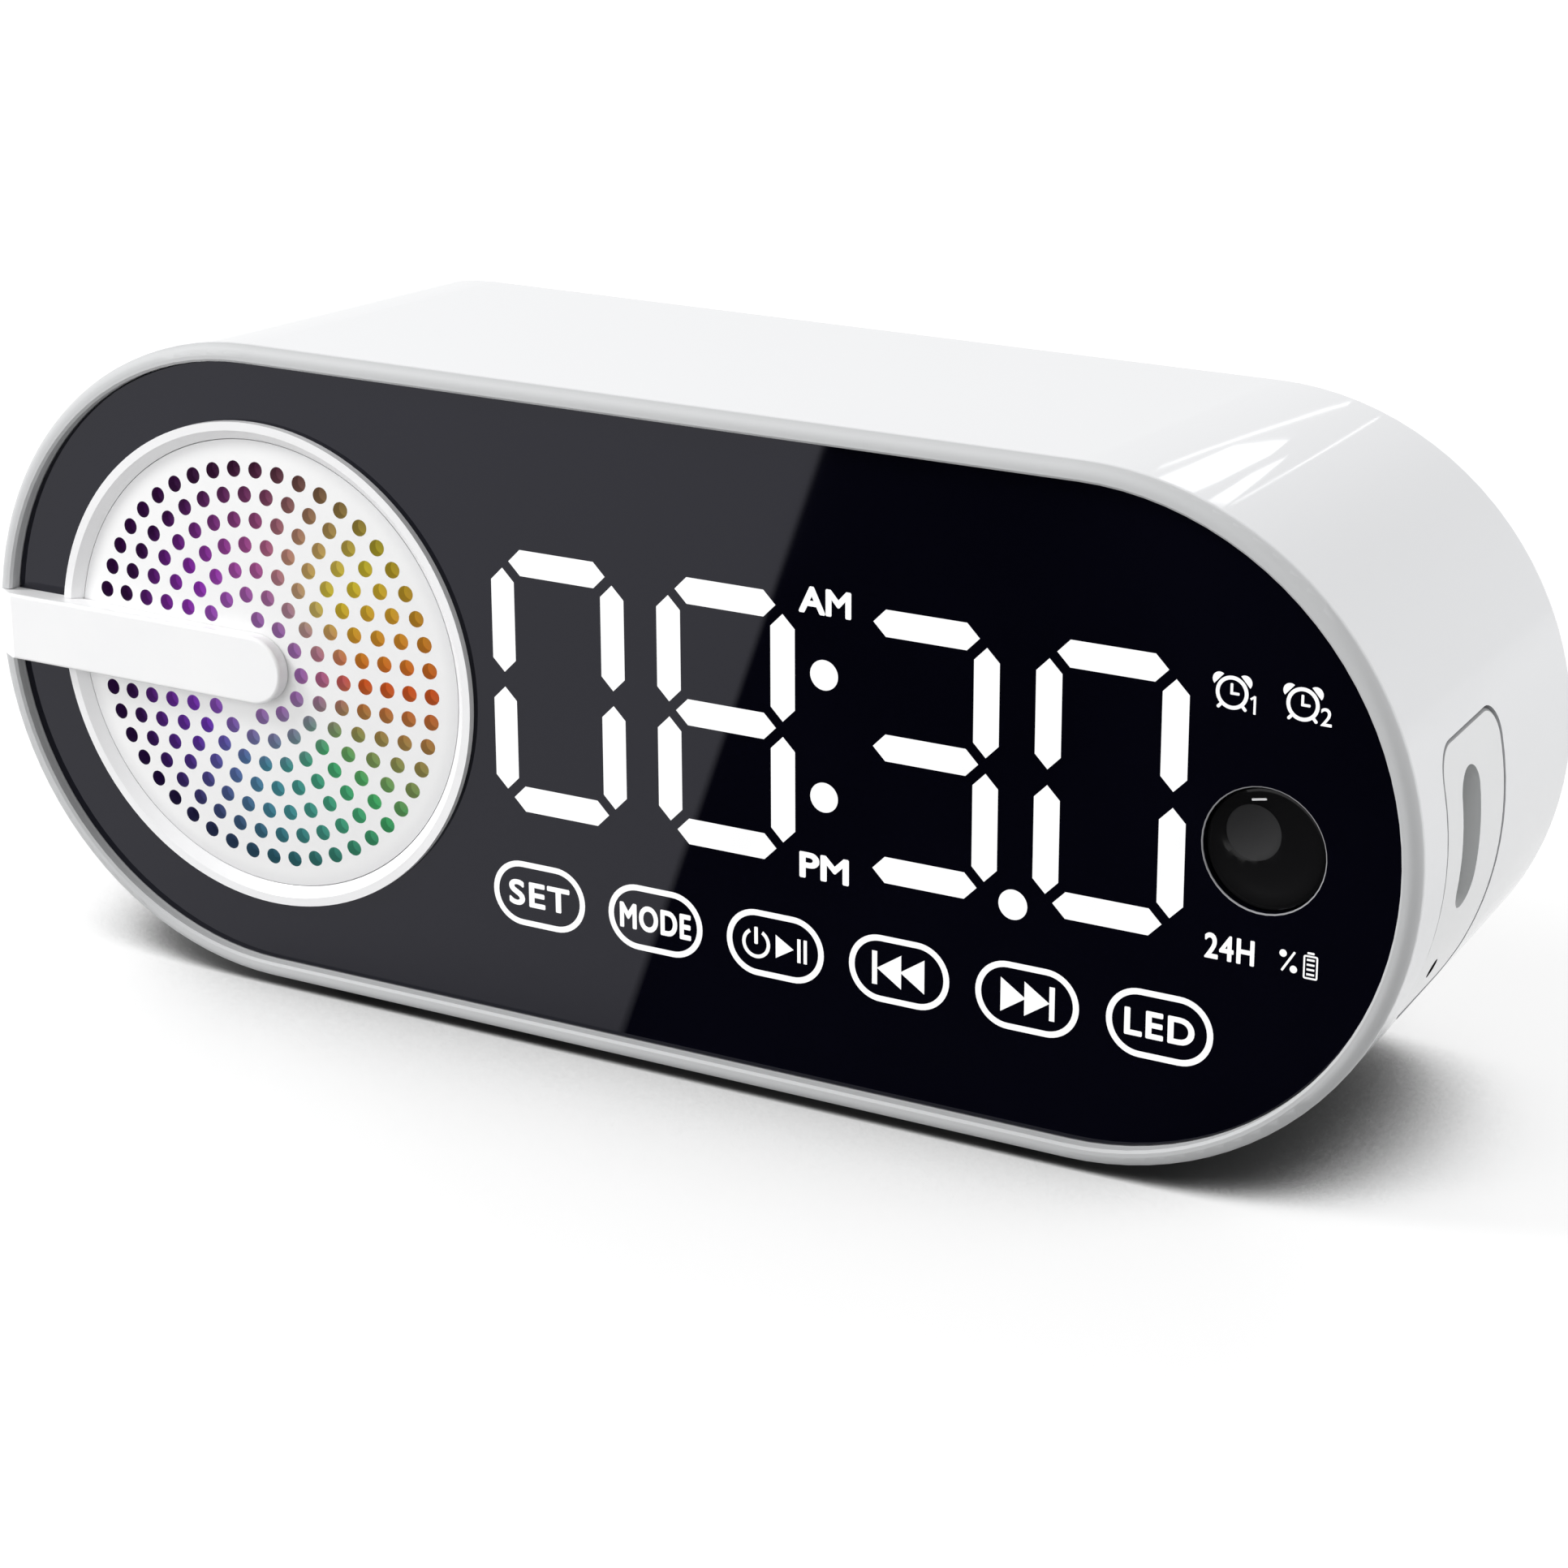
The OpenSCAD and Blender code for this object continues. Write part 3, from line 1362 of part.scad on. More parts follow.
module battery_cell() {
    x = cell_x - (cell_l + cap_tip_l) / 2;
    color("#3b78b4") translate([x, front_y + cell_d, mid_z + cell_z]) rotate([0, 90, 0]) {
        cylinder(h = cell_l, r = cell_r);
        cylinder(h = cell_l + cap_tip_l, r = cap_tip_r, $fn = small_fn);
    }
}

body_shell();
rear_cover();
cover_screws();
port_plate();
microphone();
foot_front_left();
foot_front_right();
foot_rear_left();
foot_rear_right();
front_panel();
panel_tape();
inner_frame();
frame_screws();
display_film();
display_reflector();
display_board();
segment_lamps();
touch_springs();
display_screws();
speaker_bezel();
grille_disc();
grille_film();
grille_retainer();
light_ring_board();
ring_lamps();
arm_bar();
sound_chamber();
chamber_screws();
speaker_gasket();
speaker_basket();
speaker_screws();
speaker_surround();
speaker_cone();
dust_cap();
voice_coil();
top_plate();
magnet_ring();
pole_yoke();
volume_knob();
knob_shaft();
encoder_bush();
encoder_body();
main_board();
board_screws();
board_header();
board_chips();
radio_module();
usb_socket();
battery_cradle();
battery_cell();
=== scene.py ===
import json
import math

import bmesh
import bpy
from mathutils import Euler, Matrix, Vector


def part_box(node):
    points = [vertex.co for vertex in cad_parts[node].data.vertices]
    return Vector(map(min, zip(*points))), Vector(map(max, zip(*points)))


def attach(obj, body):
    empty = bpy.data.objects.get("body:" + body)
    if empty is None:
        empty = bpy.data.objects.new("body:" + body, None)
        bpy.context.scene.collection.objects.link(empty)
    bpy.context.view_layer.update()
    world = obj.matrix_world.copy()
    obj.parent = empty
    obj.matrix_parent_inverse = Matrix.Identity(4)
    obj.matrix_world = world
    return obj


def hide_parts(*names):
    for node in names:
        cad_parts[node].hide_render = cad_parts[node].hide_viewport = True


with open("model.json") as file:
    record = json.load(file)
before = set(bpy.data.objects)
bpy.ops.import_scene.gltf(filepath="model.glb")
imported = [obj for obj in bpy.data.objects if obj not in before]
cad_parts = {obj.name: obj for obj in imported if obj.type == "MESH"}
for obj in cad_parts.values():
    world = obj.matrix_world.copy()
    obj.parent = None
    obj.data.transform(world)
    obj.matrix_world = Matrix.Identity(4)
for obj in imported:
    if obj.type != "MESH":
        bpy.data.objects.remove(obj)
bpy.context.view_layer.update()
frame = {"nodes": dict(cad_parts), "record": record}
mm = 0.001
hair = 0.01 * mm         # places nearer than this count as one
cornerTurn = 1.0         # radians; faces that meet at more than this make a corner


def middleOf(node):
    low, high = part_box(node)
    return [(low[i] + high[i]) / 2 for i in range(3)]


# Places read from the clock itself: the rim's front, the body's middle, the panel's face, speaker and knob
shellLow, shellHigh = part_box("body_shell")
frontY = shellLow.y
midZ = (shellLow.z + shellHigh.z) / 2
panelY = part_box("front_panel")[0].y
speakerX = middleOf("speaker_bezel")[0]
knobX = middleOf("volume_knob")[0]
faceZ = middleOf("grille_disc")[2]
print("frame loaded, speaker at", round(speakerX / mm, 2), "knob at", round(knobX / mm, 2))


# Object and mesh helpers

def addObject(name, data):
    added = bpy.data.objects.new(name, data)
    bpy.context.scene.collection.objects.link(added)
    return added


def meshFrom(bm, name):
    # Makes a mesh of a bmesh and lets the bmesh go
    mesh = bpy.data.meshes.new(name)
    bm.to_mesh(mesh)
    bm.free()
    return mesh


def joined(shapes):
    # One bmesh of several, which are let go
    whole = bmesh.new()
    for shape in shapes:
        part = meshFrom(shape, "part")
        whole.from_mesh(part)
        bpy.data.meshes.remove(part)
    return whole


def extent(verts):
    # Lowest and highest corner of some vertices
    return [Vector([pick(v.co[i] for v in verts) for i in range(3)]) for pick in (min, max)]


def roundEdges(bm, edges, width, segments, clamped=False):
    # Bevels edges by a width in millimetres and gives back the new faces
    return bmesh.ops.bevel(
        bm, geom=edges, offset=width * mm, segments=segments, profile=0.5, affect="EDGES", material=-1,
        clamp_overlap=clamped,
    )["faces"]


# Camera, in metres and degrees, as the photograph was taken
cameraView = {
    "place": (0.22935, -0.39274, 0.18905),
    "turn": (70.47058, 0.19333, 29.81328),
    "lens": 91.671,
    "sensor": 36,
    "clip": (0.01, 20),
}


def addCamera(view):
    data = bpy.data.cameras.new("photoCamera")
    data.lens = view["lens"]
    data.sensor_width = view["sensor"]
    data.clip_start, data.clip_end = view["clip"]
    camera = addObject("photoCamera", data)
    camera.location = view["place"]
    camera.rotation_euler = Euler([math.radians(angle) for angle in view["turn"]], "XYZ")
    bpy.context.scene.camera = camera


addCamera(cameraView)
bpy.context.scene.view_settings.view_transform = "Standard"


# Colour and node helpers

def hexColour(code):
    channels = [int(code[i:i + 2], 16) / 255 for i in (1, 3, 5)]
    linear = [c / 12.92 if c <= 0.04045 else ((c + 0.055) / 1.055) ** 2.4 for c in channels]
    return (*linear, 1)


black, white = hexColour("#000000"), hexColour("#ffffff")


def addNode(tree, kind, settings=None, links=None, stops=()):
    # Numbers and socket names set sockets, other names the node; stops are a ramp's places and colours
    node = tree.nodes.new("ShaderNode" + kind)
    for key, value in (settings or {}).items():
        if isinstance(key, int) or key in node.inputs:
            node.inputs[key].default_value = value
        else:
            setattr(node, key, value)
    for key, source in (links or {}).items():
        tree.links.new(source, node.inputs[key])
    for i, (position, code) in enumerate(stops):
        elements = node.color_ramp.elements
        element = elements[i] if i < 2 else elements.new(position)
        element.position = position
        element.color = hexColour(code)
    return node


noiseRange = (0.3, 0.7)      # nearly all of a noise lies between these
noiseStops = (0.35, 0.65)    # between these a noise turns one colour into the next


def lumps(size, detail=2.0):
    # Settings of a noise whose lumps are about size millimetres apart
    return {"Scale": 1 / (size * mm), "Detail": detail, "Roughness": 0.55}


def spread(low, high):
    # Settings of a map that spreads a noise from low to high
    return {"From Min": noiseRange[0], "From Max": noiseRange[1], "To Min": low, "To Max": high}


def startMaterial(name, shader):
    # A Principled surface with its fixed numbers on its own sockets, and object coordinates to draw with
    material = bpy.data.materials.new(name)
    material.use_nodes = True
    tree = material.node_tree
    tree.nodes.clear()
    surface = addNode(tree, "BsdfPrincipled", shader)
    addNode(tree, "OutputMaterial", links={"Surface": surface.outputs[0]})
    place = addNode(tree, "TexCoord")
    return material, tree, surface, place.outputs["Object"]


def addGloss(tree, surface, place, look):
    # Roughness that varies in broad lumps; gives back their noise, for the colours
    broad = addNode(tree, "TexNoise", lumps(look["lump"]), {"Vector": place}).outputs[0]
    rough = addNode(tree, "MapRange", spread(*look["rough"]), {"Value": broad}).outputs[0]
    tree.links.new(rough, surface.inputs["Roughness"])
    return broad


def addRelief(tree, surface, place, look, height=None, detail=2.0):
    # Relief as high as the look says, in millimetres: fine grain, or the height that is given
    if height is None:
        height = addNode(tree, "TexNoise", lumps(look["grain"], detail), {"Vector": place}).outputs[0]
    bump = addNode(tree, "Bump", {"Strength": 1.0, "Distance": look["relief"] * mm}, {"Height": height})
    tree.links.new(bump.outputs[0], surface.inputs["Normal"])


def addAxis(tree, place, x, z):
    # The place seen from an axis that runs from front to back, without its depth, and the distance from it
    centred = addNode(tree, "VectorMath", {"operation": "ADD", 1: (-x, 0, -z)}, {0: place}).outputs[0]
    flat = addNode(tree, "VectorMath", {"operation": "MULTIPLY", 1: (1, 0, 1)}, {0: centred}).outputs[0]
    return flat, addNode(tree, "VectorMath", {"operation": "LENGTH"}, {0: flat}).outputs[1]


def addSeen(tree):
    # 1 for the camera and for gloss, 0 for the light that falls on things
    path = addNode(tree, "LightPath")
    links = {0: path.outputs["Is Camera Ray"], 1: path.outputs["Is Glossy Ray"]}
    return addNode(tree, "Math", {"operation": "MAXIMUM"}, links).outputs[0]


# Finishes by material slot. Lump, grain and relief are in millimetres, and grain that is really finer than
# the render shows is drawn just coarse enough to show

finishes = {}


def mouldedMaterial(look):
    # Moulded or painted surface: two close colours in broad lumps, fine grain, and uneven gloss
    material, tree, surface, place = startMaterial(look["name"], {"IOR": 1.5, **look.get("shader", {})})
    broad = addGloss(tree, surface, place, look)
    colours = addNode(tree, "ValToRGB", links={0: broad}, stops=zip(noiseStops, look["colours"]))
    tree.links.new(colours.outputs[0], surface.inputs["Base Color"])
    addRelief(tree, surface, place, look, detail=3.0)
    return material


mouldedKeys = ("name", "colours", "lump", "grain", "relief", "rough", "shader")
mouldedLooks = {
    # Satin ABS of the cover: a spark-eroded mould leaves an even fine grain
    "cover_white": ("satinMouldedAbs", ("#ececed", "#f0f0f1"), 30, 0.5, 0.012, (0.38, 0.46)),
    # Satin ABS of the port plate: smoother, nearly as glossy as the shell round it
    "plate_white": ("portPlateAbs", ("#eff0f1", "#f1f2f3"), 24, 3.2, 0.0006, (0.16, 0.19)),
    # Its edge in the seam: painted darker, a painted shade for the seam, so that the plate's outline reads
    # from all sides
    "plate_wall": ("portPlateWall", ("#8c8d8f", "#949597"), 6, 0.4, 0.004, (0.4, 0.5)),
    # Polished ABS of the bezel ring and of the bar: whiter than the shell, with a clear highlight
    "ring_white": ("polishedRingAbs", ("#f5f5f6", "#f9f9fa"), 15, 1.6, 0.001, (0.14, 0.2)),
    "bar_white": ("polishedBarAbs", ("#fafafb", "#fdfdfd"), 14, 1.8, 0.001, (0.18, 0.24)),
    # Smoked acrylic sheet, diamond polished: nearly black, a mirror without grain
    "smoked_acrylic": (
        "smokedAcrylic", ("#05050d", "#070710"), 40, 30, 0.0, (0.015, 0.035),
        {"IOR": 1.44, "Specular Tint": hexColour("#ebebfa")},
    ),
    # Ground edge of the acrylic round the knob: matt, so that it shows as a thin grey line
    "ground_edge": ("groundAcrylicEdge", ("#98989b", "#acacaf"), 6, 0.1, 0.01, (0.4, 0.55)),
    # Pad-printed white of the knob's tick: opaque, half matt
    "tick_print": ("whitePadPrint", ("#eeeeef", "#f4f4f5"), 2, 0.15, 0.004, (0.4, 0.5)),
    # Moulded silicone rubber: dull, slightly dusty
    "foot_rubber": ("mouldedSiliconeRubber", ("#2b2b2c", "#363637"), 3, 0.5, 0.02, (0.7, 0.85)),
    # Acrylic foam tape: dull black, finely pored
    "black_tape": ("acrylicFoamTape", ("#1e1e1f", "#2a2a2b"), 2, 0.3, 0.03, (0.75, 0.9)),
    # Open-celled foam: black that swallows light
    "gasket_foam": ("cellularFoamGasket", ("#161617", "#232324"), 1.5, 0.4, 0.06, (0.85, 0.95)),
    # Textured ABS of the inner frame, the sound chamber and the cell's cradle: pebbled, half matt black
    "black_plastic": ("texturedBlackAbs", ("#1d1d1f", "#262628"), 9, 0.45, 0.03, (0.45, 0.6)),
    # Frosted polycarbonate film: milky and even
    "frost_film": ("frostedPolycarbonateFilm", ("#d6d7d9", "#dedfe0"), 10, 0.2, 0.006, (0.5, 0.6)),
    # ABS filled with titanium white: brilliant and matt
    "reflector_white": ("titaniumWhiteReflector", ("#eff0f0", "#f4f4f4"), 8, 0.3, 0.008, (0.55, 0.65)),
    # Clear resin over phosphor: pale yellow under a wet highlight
    "lamp_resin": (
        "phosphorLampResin", ("#f3ecc0", "#f7f2d2"), 0.8, 0.2, 0.004, (0.15, 0.3),
        {"IOR": 1.52, "Coat Weight": 0.6, "Coat Roughness": 0.08},
    ),
    # Moulded butyl rubber: smooth black with a soft sheen
    "roll_rubber": ("butylRubberRoll", ("#1b1b1c", "#232324"), 4, 0.8, 0.01, (0.42, 0.55)),
    # Pressed paper: matt charcoal, mottled by its fibres
    "cone_paper": ("pressedPaperCone", ("#333335", "#434345"), 1.2, 0.35, 0.05, (0.75, 0.9)),
    # Powder coat on sheet steel: dark grey, lightly pebbled
    "basket_steel": ("powderCoatedBasket", ("#444649", "#505256"), 5, 0.5, 0.02, (0.4, 0.5)),
    # Sintered ferrite: dull and grainy, nearly black
    "magnet_ferrite": ("sinteredFerrite", ("#2f3134", "#3c3e42"), 1.6, 0.4, 0.03, (0.55, 0.7)),
    # Moulded epoxy of chips and headers: flat black
    "chip_black": ("epoxyChipCase", ("#232326", "#2c2c30"), 1.2, 0.25, 0.01, (0.5, 0.6)),
    # Nylon with glass fibres: dull blue, a little mottled
    "encoder_case": ("glassFilledNylon", ("#4a6f8d", "#557b98"), 1.4, 0.3, 0.012, (0.45, 0.55)),
    # Shrunk PVC sleeve of the cell: blue, with a slightly wavy gloss
    "cell_wrap": ("shrunkPvcSleeve", ("#2f6ea8", "#3a7ab3"), 12, 4.0, 0.02, (0.22, 0.32)),
}
for slot, row in mouldedLooks.items():
    finishes[slot] = mouldedMaterial(dict(zip(mouldedKeys, row)))


# High-gloss moulded ABS: soft orange peel and sharp reflections; the rim's front band is satin and painted a
# darker light grey, a painted shade
glossShell = {
    "body": "#f3f4f6", "rim": "#c9cacb", "rimStart": 1.0, "rimEnd": 2.0,
    "lump": 24, "grain": 3.2, "relief": 0.0006, "rough": (0.04, 0.07), "rimRough": 0.6,
}


def glossShellMaterial(look):
    material, tree, surface, place = startMaterial("glossMouldedAbs", {"IOR": 1.53})
    axes = addNode(tree, "SeparateXYZ", links={0: place})
    settings = {
        "From Min": frontY + look["rimStart"] * mm, "From Max": frontY + look["rimEnd"] * mm,
        "interpolation_type": "SMOOTHSTEP",
    }
    behind = addNode(tree, "MapRange", settings, {"Value": axes.outputs["Y"]}).outputs[0]
    # The rim's front band takes the darker grey, painted shade on the same white shell
    stops = [(0, look["rim"]), (1, look["body"])]
    colours = addNode(tree, "ValToRGB", links={0: behind}, stops=stops).outputs[0]
    broad = addNode(tree, "TexNoise", lumps(look["lump"]), {"Vector": place}).outputs[0]
    rough = addNode(tree, "MapRange", spread(*look["rough"]), {"Value": broad}).outputs[0]
    settings = {"data_type": "FLOAT", "A": look["rimRough"]}
    mixed = addNode(tree, "Mix", settings, {"Factor": behind, "B": rough}).outputs[0]
    tree.links.new(colours, surface.inputs["Base Color"])
    tree.links.new(mixed, surface.inputs["Roughness"])
    addRelief(tree, surface, place, look)
    return material


finishes["shell_white"] = glossShellMaterial(glossShell)

# Light ring behind the grille: a plain colour for each eighth of a turn, from the left round by the bottom.
# They mix in the middle, and the light fades away from a spot at the lower right. Lengths are in millimetres
ringLight = {
    "lamps": ("#8030a0", "#6030a0", "#408090", "#40a060", "#c05020", "#c0b030", "#a05080", "#9030b0"),
    "mixed": "#9060a0", "mixedTo": 5, "pureFrom": 13, "spot": (6, -2), "fade": (17, 28), "faint": 0.1,
}


def glowColour(tree, place, look):
    flat, radius = addAxis(tree, place, speakerX, faceZ)
    axes = addNode(tree, "SeparateXYZ", links={0: flat})
    links = {0: axes.outputs["Z"], 1: axes.outputs["X"]}
    turn = addNode(tree, "Math", {"operation": "ARCTAN2"}, links).outputs[0]
    settings = {"From Min": -math.pi, "From Max": math.pi}
    angle = addNode(tree, "MapRange", settings, {"Value": turn}).outputs[0]
    lamps = look["lamps"]
    stops = [(i / len(lamps), code) for i, code in enumerate((*lamps, lamps[0]))]
    pure = addNode(tree, "ValToRGB", links={0: angle}, stops=stops).outputs[0]
    settings = {"From Min": look["mixedTo"] * mm, "From Max": look["pureFrom"] * mm}
    part = addNode(tree, "MapRange", settings, {"Value": radius}).outputs[0]
    settings = {"data_type": "RGBA", 6: hexColour(look["mixed"])}
    colour = addNode(tree, "Mix", settings, {"Factor": part, 7: pure}).outputs[2]
    (dx, dz), (start, end) = look["spot"], look["fade"]
    away = addAxis(tree, place, speakerX + dx * mm, faceZ + dz * mm)[1]
    settings = {"From Min": start * mm, "From Max": end * mm, "To Min": 1.0, "To Max": look["faint"]}
    level = addNode(tree, "MapRange", settings, {"Value": away}).outputs[0]
    return addNode(tree, "VectorMath", {"operation": "SCALE"}, {0: colour, "Scale": level}).outputs[0]


# Frosted film lit from behind: the colours show through the holes as even dots
# Its base is dark, a painted shade behind the grille, so that light from outside doesn't pale the colours
filmLook = {"dark": "#141416", "rough": 0.6, "strength": 1.0, "grain": 0.4, "relief": 0.004}


def glowFilmMaterial(look, light):
    shader = {
        "Roughness": look["rough"], "Base Color": hexColour(look["dark"]),
        "Emission Strength": look["strength"],
    }
    material, tree, surface, place = startMaterial("frostedFilmLitFromBehind", shader)
    tree.links.new(glowColour(tree, place, light), surface.inputs["Emission Color"])
    addRelief(tree, surface, place, look)
    return material


finishes["glow_film"] = glowFilmMaterial(filmLook, ringLight)

# Punched grille disc: satin white face, and hole walls painted dark, a painted shade, that glow with the
# colour of the light behind them, a painted glow
grilleLook = {
    # The edge colour is a painted shade in the corner by the ring
    "face": ("#f5f5f5", "#f9f9f9"), "edge": "#e6e6e7", "edgeShadeFrom": 25.9, "edgeShadeTo": 28.4,
    # The wall colour is a painted shade in the holes, and the walls' glow is painted light
    "wall": "#1c1b1d", "wallNormal": 0.35, "wallReach": 26.5, "wallPaintedGlow": 0.62,
    "lump": 18, "grain": 0.9, "relief": 0.002, "rough": (0.3, 0.38),
}


def grilleMaterial(look, light):
    shader = {"IOR": 1.5, "Emission Strength": look["wallPaintedGlow"]}
    material, tree, surface, place = startMaterial("satinGrilleAbs", shader)
    broad = addGloss(tree, surface, place, look)
    stops = zip(noiseStops, look["face"])
    face = addNode(tree, "ValToRGB", links={0: broad}, stops=stops).outputs[0]
    shape = addNode(tree, "NewGeometry")
    normal = addNode(tree, "SeparateXYZ", links={0: shape.outputs["True Normal"]})
    facing = addNode(tree, "Math", {"operation": "ABSOLUTE"}, {0: normal.outputs["Y"]}).outputs[0]
    settings = {"operation": "LESS_THAN", 1: look["wallNormal"]}
    sideways = addNode(tree, "Math", settings, {0: facing}).outputs[0]
    radius = addAxis(tree, place, speakerX, faceZ)[1]
    # The face is painted a shade darker towards its edge, a painted shade for the corner by the ring
    settings = {
        "From Min": look["edgeShadeFrom"] * mm, "From Max": look["edgeShadeTo"] * mm,
        "interpolation_type": "SMOOTHSTEP",
    }
    corner = addNode(tree, "MapRange", settings, {"Value": radius}).outputs[0]
    settings = {"data_type": "RGBA", 7: hexColour(look["edge"])}
    face = addNode(tree, "Mix", settings, {"Factor": corner, 6: face}).outputs[2]
    # Hole walls near the light are painted dark for their shade and glow with its colour, painted light
    settings = {"operation": "LESS_THAN", 1: look["wallReach"] * mm}
    near = addNode(tree, "Math", settings, {0: radius}).outputs[0]
    wall = addNode(tree, "Math", {"operation": "MULTIPLY"}, {0: sideways, 1: near}).outputs[0]
    settings = {"data_type": "RGBA", 7: hexColour(look["wall"])}
    base = addNode(tree, "Mix", settings, {"Factor": wall, 6: face}).outputs[2]
    settings = {"data_type": "RGBA", 6: black}
    links = {"Factor": wall, 7: glowColour(tree, place, light)}
    glow = addNode(tree, "Mix", settings, links).outputs[2]
    tree.links.new(base, surface.inputs["Base Color"])
    tree.links.new(glow, surface.inputs["Emission Color"])
    addRelief(tree, surface, place, look)
    return material


finishes["grille_white"] = grilleMaterial(grilleLook, ringLight)

# Gloss black knob with a matt, grained finger dimple; the dimple's centre lies off the axis
knobLook = {
    "gloss": "#121213", "matt": "#2a2a2b", "dimpleRadius": 3.2, "dimplePlace": 2.2, "dimpleAngle": 139,
    "edge": 0.12, "glossRough": 0.2, "mattRough": 0.62, "grain": 0.35, "relief": 0.006,
}


def knobMaterial(look):
    material, tree, surface, place = startMaterial("glossKnobWithMattDimple", {"IOR": 1.4})
    angle = math.radians(look["dimpleAngle"])
    away = look["dimplePlace"] * mm
    radius = addAxis(tree, place, knobX + away * math.cos(angle), faceZ + away * math.sin(angle))[1]
    settings = {
        "From Min": look["dimpleRadius"] * mm, "From Max": (look["dimpleRadius"] - look["edge"]) * mm,
    }
    matt = addNode(tree, "MapRange", settings, {"Value": radius}).outputs[0]
    stops = [(0, look["gloss"]), (1, look["matt"])]
    colours = addNode(tree, "ValToRGB", links={0: matt}, stops=stops).outputs[0]
    settings = {"To Min": look["glossRough"], "To Max": look["mattRough"]}
    rough = addNode(tree, "MapRange", settings, {"Value": matt}).outputs[0]
    tree.links.new(colours, surface.inputs["Base Color"])
    tree.links.new(rough, surface.inputs["Roughness"])
    fine = addNode(tree, "TexNoise", lumps(look["grain"]), {"Vector": place}).outputs[0]
    grain = addNode(tree, "Math", {"operation": "MULTIPLY"}, {0: fine, 1: matt}).outputs[0]
    addRelief(tree, surface, place, look, grain)
    return material


finishes["knob_black"] = knobMaterial(knobLook)

# Metals keep the default IOR; the turning, winding or rolling lines come from a wave along one axis
def linedMetalMaterial(look):
    material, tree, surface, place = startMaterial(look["name"], {"Metallic": 1.0})
    addGloss(tree, surface, place, look)
    # The wave comes round once in pi / (10 * scale)
    settings = {
        "bands_direction": look["axis"], "Scale": math.pi / (10 * look["pitch"] * mm),
        "Distortion": look["waver"], "Detail": 1.0,
    }
    lines = addNode(tree, "TexWave", settings, {"Vector": place}).outputs["Fac"]
    stops = zip((0.2, 0.8), look["colours"])
    colours = addNode(tree, "ValToRGB", links={0: lines}, stops=stops).outputs[0]
    tree.links.new(colours, surface.inputs["Base Color"])
    addRelief(tree, surface, place, look, lines)
    return material


metalKeys = ("name", "colours", "lump", "pitch", "relief", "rough", "axis", "waver")
metalLooks = {
    # Zinc-plated screw steel: pale, slightly blue, with fine rolling lines
    "screw_steel": ("zincPlatedSteel", ("#a9adb2", "#c1c4c8"), 1.0, 0.35, 0.004, (0.25, 0.4), "Y", 0.6),
    # Turned steel of the magnet's poles: grey with plain tool lines
    "pole_steel": ("turnedPoleSteel", ("#9ea2a6", "#b3b7ba"), 3.0, 0.5, 0.006, (0.3, 0.42), "Y", 0.6),
    # Finely turned steel of shaft and bush: brighter, with closer lines
    "shaft_steel": ("turnedShaftSteel", ("#b4b7ba", "#cccfd1"), 1.5, 0.3, 0.003, (0.2, 0.3), "Y", 0.6),
    # Tin-plated sheet of the radio's can: soft grey with faint drawn lines
    "radio_can": ("tinPlatedCan", ("#b1b4b6", "#bfc1c3"), 2.5, 0.8, 0.002, (0.3, 0.4), "X", 2.0),
    # Nickel-plated socket: slightly warm and nearly a mirror
    "socket_nickel": ("nickelPlatedSocket", ("#bfbfbb", "#cdccc8"), 1.2, 0.6, 0.001, (0.16, 0.26), "Z", 1.5),
    # Gold-plated spring: each line is one turn of bright wire
    "spring_gold": ("goldPlatedSpringWire", ("#a5823c", "#dcb868"), 2.0, 0.8, 0.2, (0.22, 0.3), "Y", 0),
    # Enamelled copper winding: reddish turns, drawn coarser than the real wire so that they show
    "coil_copper": ("enamelledCopperWinding", ("#8c4a22", "#c77a44"), 2.0, 0.25, 0.08, (0.22, 0.32), "Y", 0),
}
for slot, row in metalLooks.items():
    finishes[slot] = linedMetalMaterial(dict(zip(metalKeys, row)))


# Solder mask over copper: the traces stand out as lighter, slightly raised lines
boardLook = {
    "line": 0.09, "across": 1.7, "along": 0.6, "blank": 0.15, "lump": 6, "relief": 0.035,
    "rough": (0.28, 0.4),
}


def boardMaterial(name, mask, track, trace, look):
    material, tree, surface, place = startMaterial(name, {"IOR": 1.5})
    turned = addNode(tree, "Mapping", {"Rotation": (math.radians(90), 0, 0)}, {"Vector": place})
    blank = look["blank"]
    settings = {
        "Scale": 1 / (trace * mm), "Mortar Size": look["line"], "Brick Width": look["across"],
        "Row Height": look["along"], "Color1": black, "Color2": (blank, blank, blank, 1), "Mortar": white,
    }
    traces = addNode(tree, "TexBrick", settings, {"Vector": turned.outputs[0]}).outputs["Color"]
    colours = addNode(tree, "ValToRGB", links={0: traces}, stops=[(0, mask), (1, track)]).outputs[0]
    tree.links.new(colours, surface.inputs["Base Color"])
    addGloss(tree, surface, place, look)
    addRelief(tree, surface, place, look, traces)
    return material


finishes["board_green"] = boardMaterial("greenSolderMask", "#124a2c", "#2a7a4c", 2.2, boardLook)
finishes["board_white"] = boardMaterial("whiteSolderMask", "#dfe0e0", "#f0f1f1", 1.8, boardLook)

for part in frame["record"]["subparts"]:
    node = frame["nodes"][part["node"]]
    node.material_slots[0].material = finishes[part["material_slot"]]
print("finishes made and assigned:", len(finishes))


# Flat shapes for the lit marks, drawn in millimetres with X right and Y up

